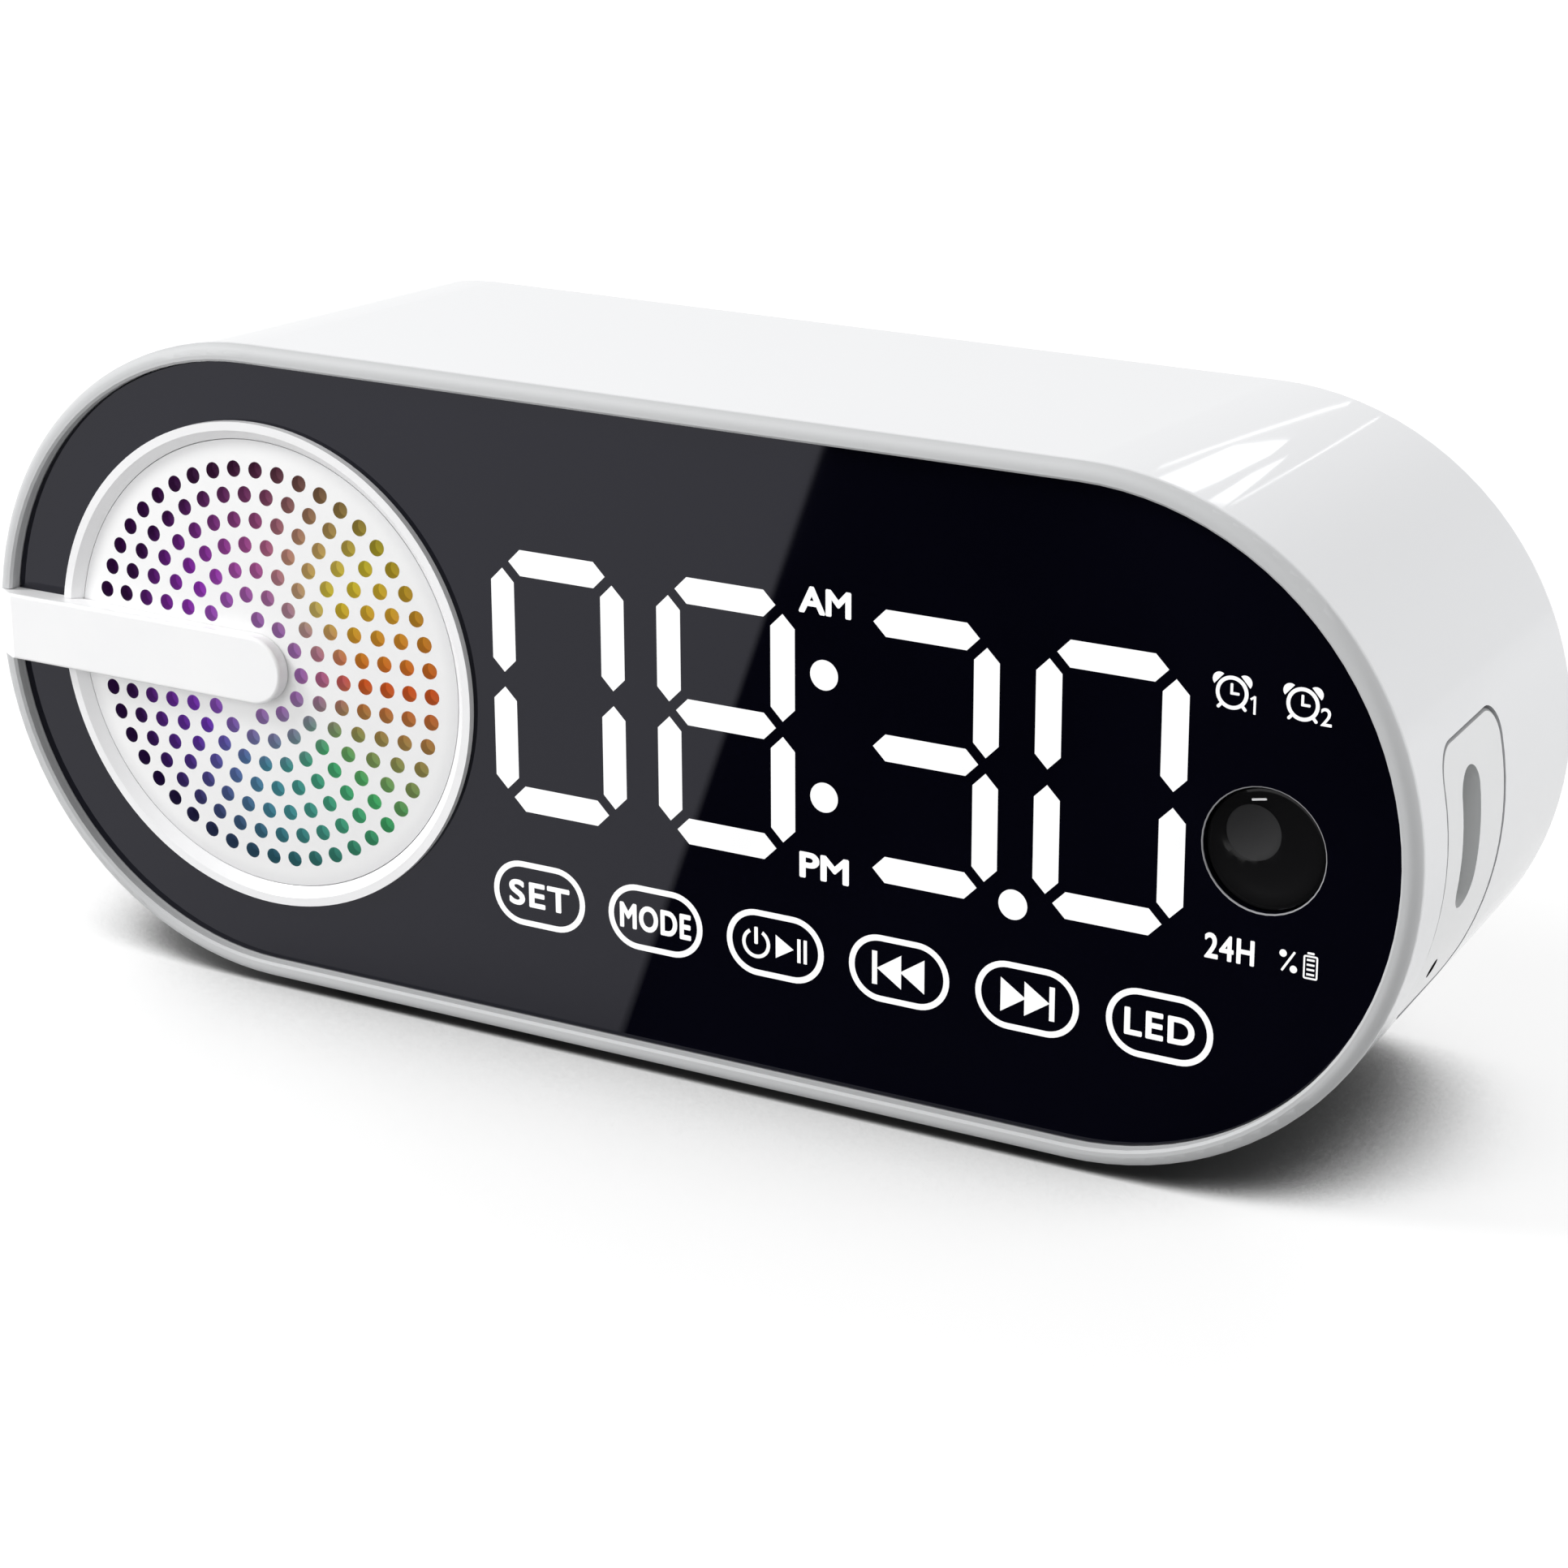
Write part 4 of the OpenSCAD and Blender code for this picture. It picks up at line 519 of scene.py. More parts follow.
def barShape(width, height, corner=0.0, segments=1):
    # Rectangle whose corners are cut at 45 degrees or, with more segments, rounded
    bm = bmesh.new()
    bmesh.ops.create_grid(bm, x_segments=1, y_segments=1, size=0.5)
    bmesh.ops.scale(bm, vec=(width, height, 1), verts=bm.verts)
    if corner:
        bmesh.ops.bevel(
            bm, geom=bm.verts[:], offset=corner, segments=segments, profile=0.5, affect="VERTICES",
            material=-1,
        )
        bmesh.ops.remove_doubles(bm, verts=bm.verts, dist=0.001)
    return bm


def discShape(radius, segments=40):
    bm = bmesh.new()
    bmesh.ops.create_circle(bm, cap_ends=True, segments=segments, radius=radius)
    return bm


def arrowShape(width, height):
    # Triangle with its tip to the right, its base at the left
    bm = bmesh.new()
    corners = [bm.verts.new(p) for p in ((0, -height / 2, 0), (width, 0, 0), (0, height / 2, 0))]
    bm.faces.new(corners)
    return bm


def wordShape(text, width, height, weight, gap=1.0, copies=8):
    # Plain built-in letters fitted to a width and a height; copies moved round a circle make them heavier
    curve = bpy.data.curves.new("word", "FONT")
    curve.body = text
    curve.space_character = gap
    curve.resolution_u = 6
    holder = addObject("word", curve)
    bpy.context.view_layer.update()
    mesh = bpy.data.meshes.new_from_object(holder)
    bpy.data.objects.remove(holder)
    bpy.data.curves.remove(curve)
    bm = bmesh.new()
    bm.from_mesh(mesh)
    bpy.data.meshes.remove(mesh)
    bmesh.ops.remove_doubles(bm, verts=bm.verts, dist=0.0005)
    low, high = extent(bm.verts)
    bmesh.ops.translate(bm, vec=-(low + high) / 2, verts=bm.verts)
    room = 2 * weight
    scale = ((width - room) / (high.x - low.x), (height - room) / (high.y - low.y), 1)
    bmesh.ops.scale(bm, vec=scale, verts=bm.verts)
    first = bm.verts[:] + bm.edges[:] + bm.faces[:]
    for step in range(copies if weight else 0):
        copied = bmesh.ops.duplicate(bm, geom=first)["geom"]
        angle = math.radians(360 / copies * (step + 0.5))
        shift = (weight * math.cos(angle), weight * math.sin(angle), 0)
        bmesh.ops.translate(bm, vec=shift, verts=[v for v in copied if isinstance(v, bmesh.types.BMVert)])
    return bm


def lineOnly(bm, line):
    # Leaves a line of the given width along the edge
    inside = bm.faces[:]
    bmesh.ops.inset_region(
        bm, faces=inside, thickness=line, depth=0, use_even_offset=True, use_boundary=True,
    )
    bmesh.ops.delete(bm, geom=inside, context="FACES")
    return bm


def moved(bm, x, y, turn=0.0, away=0.0):
    # Shifts a shape to the right by away, turns it round the origin and takes it to its place
    bmesh.ops.translate(bm, vec=(away, 0, 0), verts=bm.verts)
    turned = Matrix.Rotation(math.radians(turn), 3, "Z")
    bmesh.ops.rotate(bm, cent=(0, 0, 0), matrix=turned, verts=bm.verts)
    bmesh.ops.translate(bm, vec=(x, y, 0), verts=bm.verts)
    return bm


def newPiece(name, mesh, material, body):
    piece = addObject(name, mesh)
    piece.data.materials.append(material)
    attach(piece, body)
    return piece


def platePiece(name, shapes, place, look, material, body):
    # Joins flat shapes, gives them a thickness, and lays them on the surface that place describes
    bm = joined(shapes)
    bmesh.ops.recalc_face_normals(bm, faces=bm.faces)
    bmesh.ops.reverse_faces(bm, faces=[f for f in bm.faces if f.normal.z < 0])
    grown = bmesh.ops.extrude_face_region(bm, geom=bm.faces[:])
    lifted = [v for v in grown["geom"] if isinstance(v, bmesh.types.BMVert)]
    bmesh.ops.translate(bm, vec=(0, 0, look["thickness"]), verts=lifted)
    bmesh.ops.translate(bm, vec=(0, 0, -look["sink"]), verts=bm.verts)
    bmesh.ops.recalc_face_normals(bm, faces=bm.faces)
    bmesh.ops.transform(bm, matrix=place, verts=bm.verts)
    return newPiece(name, meshFrom(bm, name), material, body)


# From the flat drawing to a front face: X stays, Y becomes height, thickness comes forward
upright = Matrix.Rotation(math.radians(90), 4, "X") @ Matrix.Scale(mm, 4)
panelPlace = Matrix.Translation((0, panelY, midZ)) @ upright

# Light through the panel: even white, a little weaker here and there in each lamp's field
litMarks = {
    "colour": "#ffffff", "off": "#1a1a1e", "rough": 0.35, "strength": (0.97, 1.03), "field": 7.0,
    "thickness": 0.05, "sink": 0.02,
}


def litMaterial(look):
    shader = {
        "Roughness": look["rough"], "Base Color": hexColour(look["off"]),
        "Emission Color": hexColour(look["colour"]),
    }
    material, tree, surface, place = startMaterial("lampLightThroughAcrylic", shader)
    field = addNode(tree, "TexNoise", lumps(look["field"]), {"Vector": place}).outputs[0]
    glow = addNode(tree, "MapRange", spread(*look["strength"]), {"Value": field}).outputs[0]
    tree.links.new(glow, surface.inputs["Emission Strength"])
    return material


litSurface = litMaterial(litMarks)


def addLitMarks(name, shapes):
    platePiece(name, shapes, panelPlace, litMarks, litSurface, "housing")


# Seven-segment figures: middles of the digits, and which bars are lit
digits = {
    "places": (-11.85, 10.55, 36.05, 58.45), "shown": "0830", "middle": 4.15,
    "width": 14.9, "height": 28.85, "bar": 3.12, "across": 13.1, "upright": 12.62,
    "colonX": 23.3, "pointX": 47.1, "pointY": -11.4, "dot": 1.77,
}
# Bars: top, upper right, lower right, bottom, lower left, upper left, middle
litBars = {"0": "1111110", "3": "1111001", "8": "1111111"}


def digitShapes(look):
    w, h = look["width"] / 2, look["height"] / 2
    spots = [
        (0, h, 0), (w, h / 2, 90), (w, -h / 2, 90), (0, -h, 0), (-w, -h / 2, 90), (-w, h / 2, 90), (0, 0, 0),
    ]
    shapes = []
    for x, figure in zip(look["places"], look["shown"]):
        for (dx, dy, turn), lit in zip(spots, litBars[figure]):
            if lit == "1":
                length = look["upright"] if turn else look["across"]
                shape = barShape(length, look["bar"], look["bar"] / 2)
                shapes.append(moved(shape, x + dx, look["middle"] + dy, turn))
    for side in (-1, 1):
        shapes.append(moved(discShape(look["dot"]), look["colonX"], look["middle"] + side * h / 2))
    shapes.append(moved(discShape(look["dot"]), look["pointX"], look["pointY"]))
    return shapes


addLitMarks("litDigits", digitShapes(digits))
print("digits lit")

# Alarm sign: a round clock with two bells, two feet and two hands
alarmLook = {
    "radius": 1.86, "line": 0.42, "bell": 0.8, "bellCut": 0.08, "bellAway": 1.95, "bellTurns": (42, 138),
    "foot": (0.9, 0.36, 0.17, 5), "footAway": 2.0, "footTurns": (-48, -132),
    "hour": (0.3, 1.25, 0.1, 3), "hourPlace": (-0.05, 0.42),
    "minute": (1.05, 0.3, 0.1, 3), "minutePlace": (0.32, -0.06),
}


def alarmSign(look, x, y):
    sign = [moved(lineOnly(discShape(look["radius"]), look["line"]), x, y)]
    for turn in look["bellTurns"]:
        bell = discShape(look["bell"])
        bmesh.ops.bisect_plane(
            bell, geom=bell.verts[:] + bell.edges[:] + bell.faces[:], plane_co=(look["bellCut"], 0, 0),
            plane_no=(1, 0, 0), clear_inner=True,
        )
        sign.append(moved(bell, x, y, turn, look["bellAway"]))
    for turn in look["footTurns"]:
        sign.append(moved(barShape(*look["foot"]), x, y, turn, look["footAway"]))
    for hand in ("hour", "minute"):
        dx, dy = look[hand + "Place"]
        sign.append(moved(barShape(*look[hand]), x + dx, y + dy))
    return sign


# Number one, percent and cell signs; a bar is its width and height, and perhaps its corner and segments
oneLook = {
    "stem": (0.26, 2.0), "stemPlace": 0.1, "flag": (0.62, 0.24), "flagPlace": (-0.12, 0.78), "flagTurn": 35,
}
percentLook = {"stroke": (2.75, 0.26, 0.1, 3), "turn": 58, "dot": 0.42, "dotPlace": (0.62, 0.82)}
cellLook = {
    "case": (1.66, 2.7, 0.22, 3), "line": 0.19, "caseRise": -0.22, "cap": (0.8, 0.24, 0.06, 3),
    "capRise": 1.38, "row": (0.88, 0.22), "rows": 4, "rowRise": -1.03, "rowPitch": 0.55,
}


def oneSign(look, x, y):
    dx, dy = look["flagPlace"]
    flag = moved(barShape(*look["flag"]), x + dx, y + dy, look["flagTurn"])
    return [moved(barShape(*look["stem"]), x + look["stemPlace"], y), flag]


def percentSign(look, x, y):
    sign = [moved(barShape(*look["stroke"]), x, y, look["turn"])]
    dx, dy = look["dotPlace"]
    for side in (-1, 1):
        sign.append(moved(discShape(look["dot"]), x - side * dx, y + side * dy))
    return sign


def cellSign(look, x, y):
    sign = [moved(lineOnly(barShape(*look["case"]), look["line"]), x, y + look["caseRise"])]
    sign.append(moved(barShape(*look["cap"]), x, y + look["capRise"]))
    for row in range(look["rows"]):
        sign.append(moved(barShape(*look["row"]), x, y + look["rowRise"] + row * look["rowPitch"]))
    return sign


# Small marks: each word has its place, width, height, weight and perhaps gap; the signs have their places
smallMarks = {
    "words": [
        ("AM", 23.4, 19.83, 6.65, 3.15, 0.15), ("PM", 23.3, -11.55, 6.4, 3.15, 0.15),
        ("2", 82.9, 16.2, 1.25, 2.0, 0.03), ("24H", 73.0, -11.55, 5.8, 2.95, 0.09, 1.1),
    ],
    "alarms": [(72.26, 17.2), (80.25, 17.2)], "one": (74.76, 16.2), "percent": (79.8, -11.6),
    "cell": (82.35, -11.62),
}


def smallShapes(look):
    shapes = [moved(wordShape(word, *settings), x, y) for word, x, y, *settings in look["words"]]
    for place in look["alarms"]:
        shapes += alarmSign(alarmLook, *place)
    shapes += oneSign(oneLook, *look["one"])
    return shapes + percentSign(percentLook, *look["percent"]) + cellSign(cellLook, *look["cell"])


addLitMarks("litSmallMarks", smallShapes(smallMarks))

# Touch keys: six outlined ovals, with plain function words or the usual play signs
touchKeys = {
    "first": -15.3, "pitch": 16.08, "count": 6, "y": -22.25, "width": 12.8, "height": 8.1, "line": 0.72,
    "words": {0: ("SET", 8.5), 1: ("MODE", 9.7), 5: ("LED", 8.4)}, "capital": 3.25, "weight": 0.13,
    "gap": 1.12, "play": 2, "back": 3, "forward": 4,
}
playLook = {
    "ring": 1.85, "ringSides": 48, "line": 0.44, "opening": 0.5, "powerPlace": (-2.5, -0.1),
    "stem": (0.46, 2.1, 0.12, 3), "stemRise": 0.85, "arrow": (2.35, 2.85), "arrowPlace": 0.1,
    "pause": (0.42, 2.9), "pausePlaces": (3.15, 3.98),
}
skipLook = {"arrow": (3.1, 4.1), "arrowPlaces": (-3.25, -0.3), "bar": (0.65, 4.05), "barPlace": 3.1}


def playSign(look, x, y):
    # Power sign, an open ring with a stem, and the sign for play and pause
    dx, dy = look["powerPlace"]
    ring = lineOnly(discShape(look["ring"], look["ringSides"]), look["line"])
    middles = [(f, f.calc_center_median()) for f in ring.faces]
    top = [f for f, middle in middles if abs(math.atan2(middle.x, middle.y)) < look["opening"]]
    bmesh.ops.delete(ring, geom=top, context="FACES")
    sign = [moved(ring, x + dx, y + dy), moved(barShape(*look["stem"]), x + dx, y + look["stemRise"])]
    sign.append(moved(arrowShape(*look["arrow"]), x + look["arrowPlace"], y))
    for side in look["pausePlaces"]:
        sign.append(moved(barShape(*look["pause"]), x + side, y))
    return sign


def skipSign(look, x, y, turn):
    # Two arrowheads and a bar, pointing right, or left when turned
    sign = [moved(arrowShape(*look["arrow"]), x, y, turn, away) for away in look["arrowPlaces"]]
    return sign + [moved(barShape(*look["bar"]), x, y, turn, look["barPlace"])]


def keyShapes(look):
    shapes = []
    places = [look["first"] + i * look["pitch"] for i in range(look["count"])]
    for i, x in enumerate(places):
        outline = barShape(look["width"], look["height"], look["height"] / 2, 12)
        shapes.append(moved(lineOnly(outline, look["line"]), x, look["y"]))
        if i in look["words"]:
            word, width = look["words"][i]
            letters = wordShape(word, width, look["capital"], look["weight"], look["gap"])
            shapes.append(moved(letters, x, look["y"]))
    shapes += playSign(playLook, places[look["play"]], look["y"])
    shapes += skipSign(skipLook, places[look["back"]], look["y"], 180)
    return shapes + skipSign(skipLook, places[look["forward"]], look["y"], 0)


addLitMarks("litKeyMarks", keyShapes(touchKeys))
print("marks and keys lit")

# White tick printed near the knob's edge, laid on the slope of its dish
knobTick = {
    "bar": (1.75, 0.25, 0.1, 3), "radius": 5.5, "angle": 101, "depth": 0.11, "slope": 8.2, "thickness": 0.05,
    "sink": 0.02,
}


def addKnobTick(look):
    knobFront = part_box("volume_knob")[0].y + look["depth"] * mm
    onFace = (
        Matrix.Translation((knobX, knobFront, faceZ)) @ upright
        @ Matrix.Rotation(math.radians(look["angle"] - 90), 4, "Z")
        @ Matrix.Translation((0, look["radius"], 0)) @ Matrix.Rotation(math.radians(look["slope"]), 4, "X")
    )
    platePiece("knobTick", [barShape(*look["bar"])], onFace, look, finishes["tick_print"], "knob")


addKnobTick(knobTick)


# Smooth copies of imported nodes, merged first, for edges that need a small bevel

def mergedCopy(node):
    bm = bmesh.new()
    bm.from_mesh(frame["nodes"][node].data)
    bmesh.ops.remove_doubles(bm, verts=bm.verts, dist=0.002 * mm)
    return bm


def keepFlat(bm, limit=0.5):
    # Joins the triangles of flat faces again, so that a bevel runs along whole edges
    bmesh.ops.dissolve_limit(
        bm, angle_limit=math.radians(limit), verts=bm.verts, edges=bm.edges, delimit=set(),
        use_dissolve_boundaries=False,
    )


def cornersAt(bm, y):
    # Edges of a flat front or back face
    return [
        e for e in bm.edges
        if all(abs(v.co.y - y) < hair for v in e.verts) and e.calc_face_angle(0) > cornerTurn
    ]


def finishCopy(bm, name, node, extra=(), sharp=12):
    # The copy takes the node's finish and slot, rides on its body and stands in its place
    mesh = meshFrom(bm, name)
    mesh.shade_smooth()
    mesh.set_sharp_from_angle(angle=math.radians(sharp))
    original = frame["nodes"][node]
    body = next(b for b, nodes in frame["record"]["behaviour"]["bodies"].items() if node in nodes)
    piece = newPiece(name, mesh, original.material_slots[0].material, body)
    for material in extra:
        piece.data.materials.append(material)
    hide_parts(node)
    return piece


# Panel with its edges broken; the ground edge round the knob stays matt and shows as a thin grey line
panelEdge = {"width": 0.13, "holeWidth": 0.15, "segments": 2, "knobReach": 7.4}


def addPanel(look):
    bm = mergedCopy("front_panel")
    keepFlat(bm)
    front = cornersAt(bm, panelY)
    axis = Vector((knobX, panelY, faceZ))
    hole = [e for e in front if (e.verts[0].co - axis).length < look["knobReach"] * mm]
    roundEdges(bm, [e for e in front if e not in hole], look["width"], look["segments"])
    for ground in roundEdges(bm, hole, look["holeWidth"], look["segments"]):
        ground.material_index = 1
    bmesh.ops.triangulate(bm, faces=bm.faces)
    finishCopy(bm, "smokedPanel", "front_panel", [finishes["ground_edge"]])


addPanel(panelEdge)
print("panel edges broken")

# A vertex where many thin triangles meet shades as a dot, so the knob's fans become flat faces
knobMesh = {"fan": 40, "sharp": 25}


def addKnob(look):
    bm = mergedCopy("volume_knob")
    bmesh.ops.dissolve_verts(bm, verts=[v for v in bm.verts if len(v.link_faces) > look["fan"]])
    bmesh.ops.triangulate(bm, faces=bm.faces)
    finishCopy(bm, "jogKnob", "volume_knob", sharp=look["sharp"])


addKnob(knobMesh)
print("knob smoothed")

# Port plate with rounded edges; its face is raised nearly flush with the body, so that its seam shows
plateEdge = {
    "width": 0.32, "slotWidth": 0.2, "segments": 3, "outside": 0.75, "corner": 40, "wall": 0.45, "face": 0.98,
    "raise": 0.33, "flat": 0.02, "slotHalf": 3.6, "slotTop": 9.0, "footBelow": 18.5,
    "pinhole": (-1.6, -15.3), "pinholeReach": 1.25,
}


def addPortPlate(look):
    bm = mergedCopy("port_plate")
    keepFlat(bm, look["flat"])
    bm.normal_update()
    endX = shellHigh.x - (shellHigh.z - shellLow.z) / 2
    slotY, slotZ = middleOf("usb_socket")[1:]

    def outward(spot):
        # Straight out of the body's round end
        return Vector((spot.x - endX, 0, spot.z - midZ)).normalized()

    def outwardPart(face):
        return face.normal.dot(outward(face.calc_center_median()))

    def inOpening(spot):
        # The slot and the pinhole below it, but not the plate's foot
        above = spot.z - slotZ
        level = -look["footBelow"] * mm < above < look["slotTop"] * mm
        return level and abs(spot.y - slotY) < look["slotHalf"] * mm

    rim = [
        e for e in bm.edges
        if e.is_manifold and math.degrees(e.calc_face_angle(0)) > look["corner"]
        and any(outwardPart(f) > look["outside"] for f in e.link_faces)
    ]
    outerVerts = {v for f in bm.faces if outwardPart(f) > look["outside"] for v in f.verts}
    for v in outerVerts:
        v.co += outward(v.co) * look["raise"] * mm
    openings = [e for e in rim if all(inOpening(v.co) for v in e.verts)]
    outline = [e for e in rim if e not in openings]
    roundEdges(bm, openings, look["slotWidth"], look["segments"], True)
    rounded = set(roundEdges(bm, outline, look["width"], look["segments"], True))

    # Slot 1 is the wall painted dark, a painted shade in the seam; slot 2 the microphone's black foam, laid
    # on the plate's own faces at the pinhole, a painted shade that makes the hole dark
    besideSlot, aboveMiddle = look["pinhole"]
    pinhole = Vector((0, slotY + besideSlot * mm, midZ + aboveMiddle * mm))
    reach = look["pinholeReach"] * mm
    for face in bm.faces:
        sideways = abs(outwardPart(face)) < look["wall"]
        # Seam walls and rounded edges take the dark wall, painted shade in the seam
        if face in rounded or (sideways and not inOpening(face.calc_center_median())):
            face.material_index = 1
        # The plate's own faces at the pinhole take the black foam, painted shade for the hole
        if all((Vector((0, v.co.y, v.co.z)) - pinhole).length < reach for v in face.verts):
            face.material_index = 2
    bmesh.ops.triangulate(bm, faces=bm.faces)
    piece = finishCopy(bm, "portPlate", "port_plate", [finishes["plate_wall"], finishes["gasket_foam"]])

    # The outer face follows the body's round end, so its normals are set from that round
    mesh = piece.data
    normals = [corner.vector.copy() for corner in mesh.corner_normals]
    outer = [
        p for p in mesh.polygons
        if p.material_index == 0 and p.normal.dot(outward(p.center)) > look["face"]
    ]
    lean = sum(p.normal.y * p.area for p in outer) / sum(p.area for p in outer)
    for p in outer:
        for i in p.loop_indices:
            spot = mesh.vertices[mesh.loops[i].vertex_index].co
            normals[i] = (outward(spot) + Vector((0, lean, 0))).normalized()
    mesh.normals_split_custom_set(normals)


addPortPlate(plateEdge)
print("port plate edges rounded")

# Cover screws with a cross recess in each head
screwCross = {
    "width": 0.62, "length": 2.5, "depth": 0.75, "taper": 0.72, "turn": 20, "round": 0.16, "segments": 3,
    "sharp": 30,
}


def islands(bm):
    # Loose parts, as lists of vertices
    found = set()
    for start in bm.verts:
        if start in found:
            continue
        found.add(start)
        part, edge = [], [start]
        while edge:
            vert = edge.pop()
            part.append(vert)
            for other in (e.other_vert(vert) for e in vert.link_edges):
                if other not in found:
                    found.add(other)
                    edge.append(other)
        yield part


def crossCutter(look, centre, backY):
    bm = bmesh.new()
    for turn in (look["turn"], look["turn"] + 90):
        made = bmesh.ops.create_cube(bm, size=1)["verts"]
        size = Vector((look["length"], 2 * look["depth"], look["width"])) * mm
        bmesh.ops.scale(bm, vec=size, verts=made)
        deep = [v for v in made if v.co.y < 0]
        bmesh.ops.scale(bm, vec=(look["taper"], 1, look["taper"]), verts=deep)
        turned = Matrix.Rotation(math.radians(turn), 3, "Y")
        bmesh.ops.rotate(bm, cent=(0, 0, 0), matrix=turned, verts=made)
        bmesh.ops.translate(bm, vec=(centre.x, backY, centre.z), verts=made)
    return bm


def addCoverScrews(look):
    bm = mergedCopy("cover_screws")
    keepFlat(bm)
    backY = max(v.co.y for v in bm.verts)
    headEdges = cornersAt(bm, backY)
    crosses = []
    for part in islands(bm):
        low, high = extent(part)
        if high.y > backY - hair:
            crosses.append(crossCutter(look, (low + high) / 2, backY))
    roundEdges(bm, headEdges, look["round"], look["segments"])
    bmesh.ops.triangulate(bm, faces=bm.faces)
    whole = addObject("plainScrews", meshFrom(bm, "plainScrews"))
    cutter = addObject("crossCutter", meshFrom(joined(crosses), "crossCutter"))
    cut = whole.modifiers.new("cross", "BOOLEAN")
    cut.operation = "DIFFERENCE"
    cut.solver = "EXACT"
    cut.use_self = True
    cut.object = cutter
    shown = whole.evaluated_get(bpy.context.evaluated_depsgraph_get())
    done = bmesh.new()
    done.from_mesh(bpy.data.meshes.new_from_object(shown))
    bpy.data.objects.remove(whole)
    bpy.data.objects.remove(cutter)
    finishCopy(done, "coverScrews", "cover_screws", sharp=look["sharp"])


addCoverScrews(screwCross)
print("cover screws crossed")


# Stage: white floor, black flag, white cards, lamps and room

def glossOnly(thing):
    # Only gloss shows it
    for ray in ("camera", "diffuse", "shadow", "transmission"):
        setattr(thing, "visible_" + ray, False)


# Painted floor, in metres: its own light grows with the distance, and a painted shadow darkens its paint and
# its light where the clock covers the sky
floorLook = {
    "size": 8.0, "paint": "#a8a8a8", "paintForLight": "#aeaeae", "rough": 0.5,
    "lift": (0.64, 0.72), "liftReach": (0.12, 0.6), "shadeReach": 0.3, "shadeRays": 12,
    "shade": [(0.3, "#0e0e0e"), (0.4, "#5c5c5c"), (0.5, "#e6e6e6"), (0.58, "#fcfcfc"), (0.8, "#ffffff")],
}


def addFloor(look):
    bm = bmesh.new()
    bmesh.ops.create_grid(bm, x_segments=1, y_segments=1, size=look["size"] / 2)
    floor = addObject("studioFloor", meshFrom(bm, "studioFloor"))
    shader = {"Roughness": look["rough"], "Emission Color": white}
    material, tree, surface, place = startMaterial("paintedStudioFloor", shader)
    seen = addSeen(tree)
    away = addNode(tree, "VectorMath", {"operation": "LENGTH"}, {0: place}).outputs[1]
    (start, end), (near, far) = look["liftReach"], look["lift"]
    settings = {"From Min": start, "From Max": end, "To Min": near, "To Max": far}
    lift = addNode(tree, "MapRange", settings, {"Value": away}).outputs[0]
    sky = addNode(tree, "AmbientOcclusion", {"Distance": look["shadeReach"], "samples": look["shadeRays"]})
    bare = addNode(tree, "ValToRGB", links={0: sky.outputs["AO"]}, stops=look["shade"]).outputs[0]
    faded = addNode(tree, "Math", {"operation": "MULTIPLY"}, {0: lift, 1: bare}).outputs[0]
    shown = addNode(tree, "Math", {"operation": "MULTIPLY"}, {0: faded, 1: seen}).outputs[0]
    tree.links.new(shown, surface.inputs["Emission Strength"])
    # Painted shadow: the paint goes towards black where the clock covers the sky
    settings = {"data_type": "RGBA", 6: black, 7: hexColour(look["paint"])}
    pale = addNode(tree, "Mix", settings, {"Factor": bare}).outputs[2]
    settings = {"data_type": "RGBA", 6: hexColour(look["paintForLight"])}
    colour = addNode(tree, "Mix", settings, {"Factor": seen, 7: pale}).outputs[2]
    tree.links.new(colour, surface.inputs["Base Color"])
    floor.data.materials.append(material)


addFloor(floorLook)

# Black velvet flag that only gloss sees, in millimetres: it darkens the right of the panel. Its left edge
# runs from near to far and on to its reach
flagLook = {"near": (-6.5, -26.5), "far": (-125, -289), "reach": 900, "height": 0.6, "soft": 1.2}


def addFlag(look):
    (x0, y0), (x1, y1) = look["near"], look["far"]
    reach = look["reach"]
    slope = (x1 - x0) / (y1 - y0)
    corners = [(x0 - slope * (reach + y0), -reach), (reach, -reach), (reach, y0), (x0, y0)]
    bm = bmesh.new()
    bm.faces.new([bm.verts.new((x * mm, y * mm, look["height"] * mm)) for x, y in corners])
    flag = addObject("blackFlag", meshFrom(bm, "blackFlag"))
    # Black from above with a soft left edge, clear from below, so that the floor doesn't mirror it
    shader = {"Base Color": black, "Roughness": 1, "Specular IOR Level": 0}
    material, tree, surface, place = startMaterial("blackVelvet", shader)
    across = Vector((1, -slope, 0)).normalized()
    into = addNode(tree, "VectorMath", {"operation": "DOT_PRODUCT", 1: across}, {0: place}).outputs[1]
    start = across.dot(Vector((x0 * mm, y0 * mm, 0)))
    settings = {"From Min": start, "From Max": start + look["soft"] * mm}
    cover = addNode(tree, "MapRange", settings, {"Value": into}).outputs[0]
    below = addNode(tree, "NewGeometry").outputs["Backfacing"]
    above = addNode(tree, "Math", {"operation": "SUBTRACT", 0: 1.0}, {1: below}).outputs[0]
    amount = addNode(tree, "Math", {"operation": "MULTIPLY"}, {0: cover, 1: above}).outputs[0]
    clear = addNode(tree, "BsdfTransparent").outputs[0]
    output = surface.outputs[0].links[0].to_node
    mixed = addNode(tree, "MixShader", links={0: amount, 1: clear, 2: surface.outputs[0]})
    tree.links.new(mixed.outputs[0], output.inputs["Surface"])
    flag.data.materials.append(material)
    glossOnly(flag)


addFlag(flagLook)

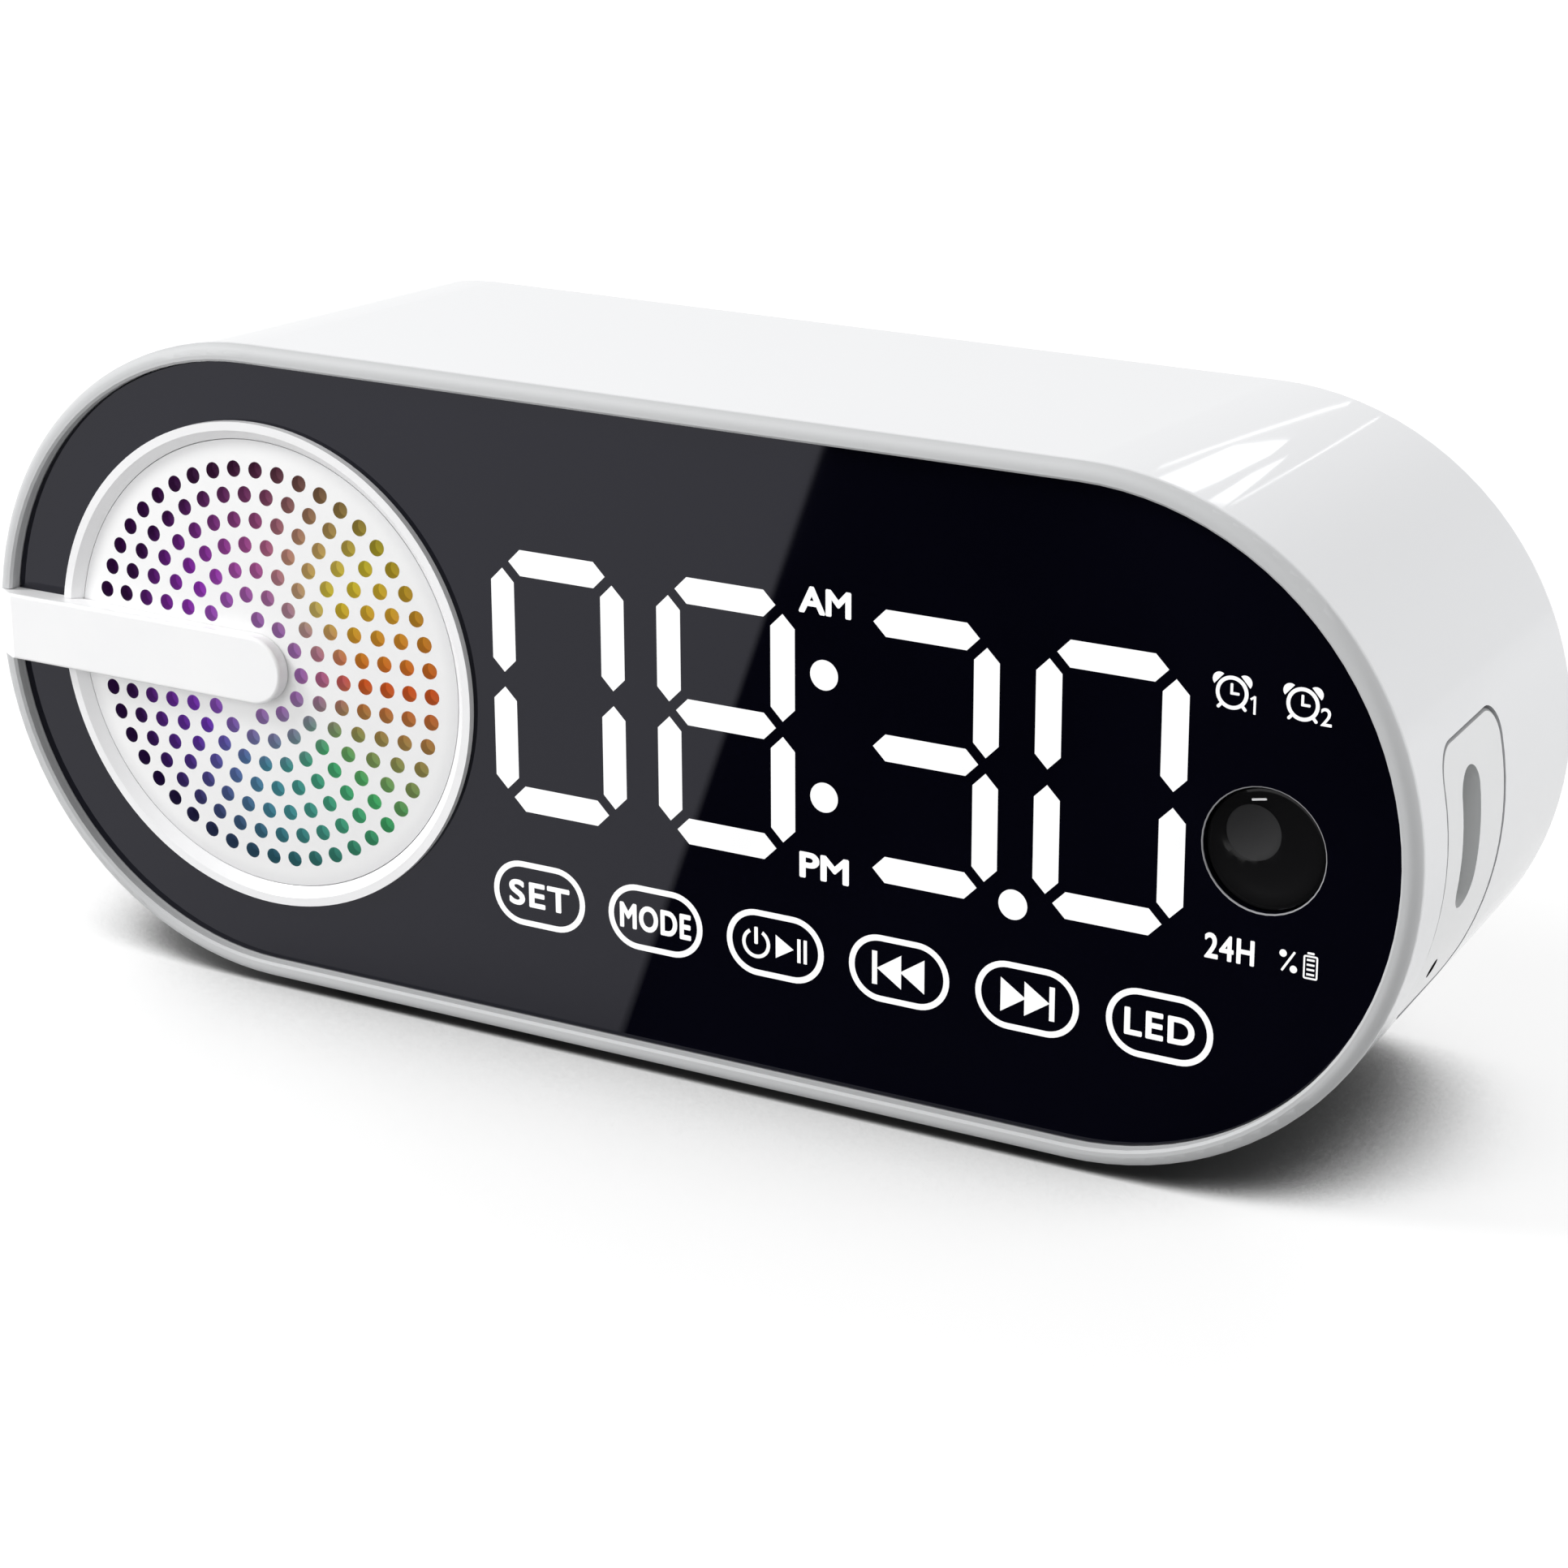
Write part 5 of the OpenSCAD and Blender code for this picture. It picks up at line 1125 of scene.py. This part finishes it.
# Narrow white cards behind the clock, seen only in its gloss: the streaks over the right shoulder
cardLook = {
    "away": 100, "strength": 2.6,
    "shapes": [
        [(25, 124), (33, 114), (45, 112), (46, 116), (43, 124), (41.5, 128)],
        [(49, 129.5), (48.5, 121), (50.5, 115.5), (52.5, 120.5), (55.5, 128.5)],
        [(21, 118.6), (46.4, 101), (47, 101.8), (21.4, 119.4)],
        [(55.9, 127.6), (56.7, 102.7), (57.3, 102.7), (56.6, 127.6)],
    ],
}


def addCards(look):
    bm = bmesh.new()
    for corners in look["shapes"]:
        bm.faces.new([bm.verts.new((x * mm, look["away"] * mm, z * mm)) for x, z in corners])
    cards = addObject("whiteCards", meshFrom(bm, "whiteCards"))
    shader = {"Base Color": black, "Emission Color": white, "Emission Strength": look["strength"]}
    cards.data.materials.append(startMaterial("litWhiteCard", shader)[0])
    glossOnly(cards)


addCards(cardLook)

# A large soft key in front, a smaller one that rakes the face from the upper left, and a soft one for the
# right end; the two large ones stay out of the gloss
lampLooks = [
    {"name": "keyLamp", "place": (-0.5, -1.05, 0.5), "size": (0.8, 0.8), "power": 5.2, "mirrored": False},
    {"name": "rakeLamp", "place": (-0.78, -0.42, 0.8), "size": (0.3, 0.3), "power": 6.2, "mirrored": True},
    {"name": "rightLamp", "place": (1.1, 0.45, 0.35), "size": (0.9, 0.7), "power": 4.8, "mirrored": False},
]
lampAim = (0, 0, 0.04)


def addLamp(look):
    data = bpy.data.lights.new(look["name"], "AREA")
    data.shape = "RECTANGLE"
    data.size, data.size_y = look["size"]
    data.energy = look["power"]
    lamp = addObject(look["name"], data)
    lamp.location = look["place"]
    aim = Vector(lampAim) - Vector(look["place"])
    lamp.rotation_euler = aim.to_track_quat("-Z", "Y").to_euler()
    lamp.visible_glossy = look["mirrored"]


for lampLook in lampLooks:
    addLamp(lampLook)

# Even white room, less bright for the light it gives than for the eye and for gloss
roomLight = 0.5


def addRoom(strength):
    world = bpy.data.worlds.new("whiteRoom")
    bpy.context.scene.world = world
    world.use_nodes = True
    tree = world.node_tree
    tree.nodes.clear()
    level = addNode(tree, "MapRange", {"To Min": strength, "To Max": 1.0}, {"Value": addSeen(tree)})
    room = addNode(tree, "Background", {"Color": white}, {"Strength": level.outputs[0]})
    addNode(tree, "OutputWorld", links={"Surface": room.outputs[0]})


addRoom(roomLight)
print("stage and lamps set")
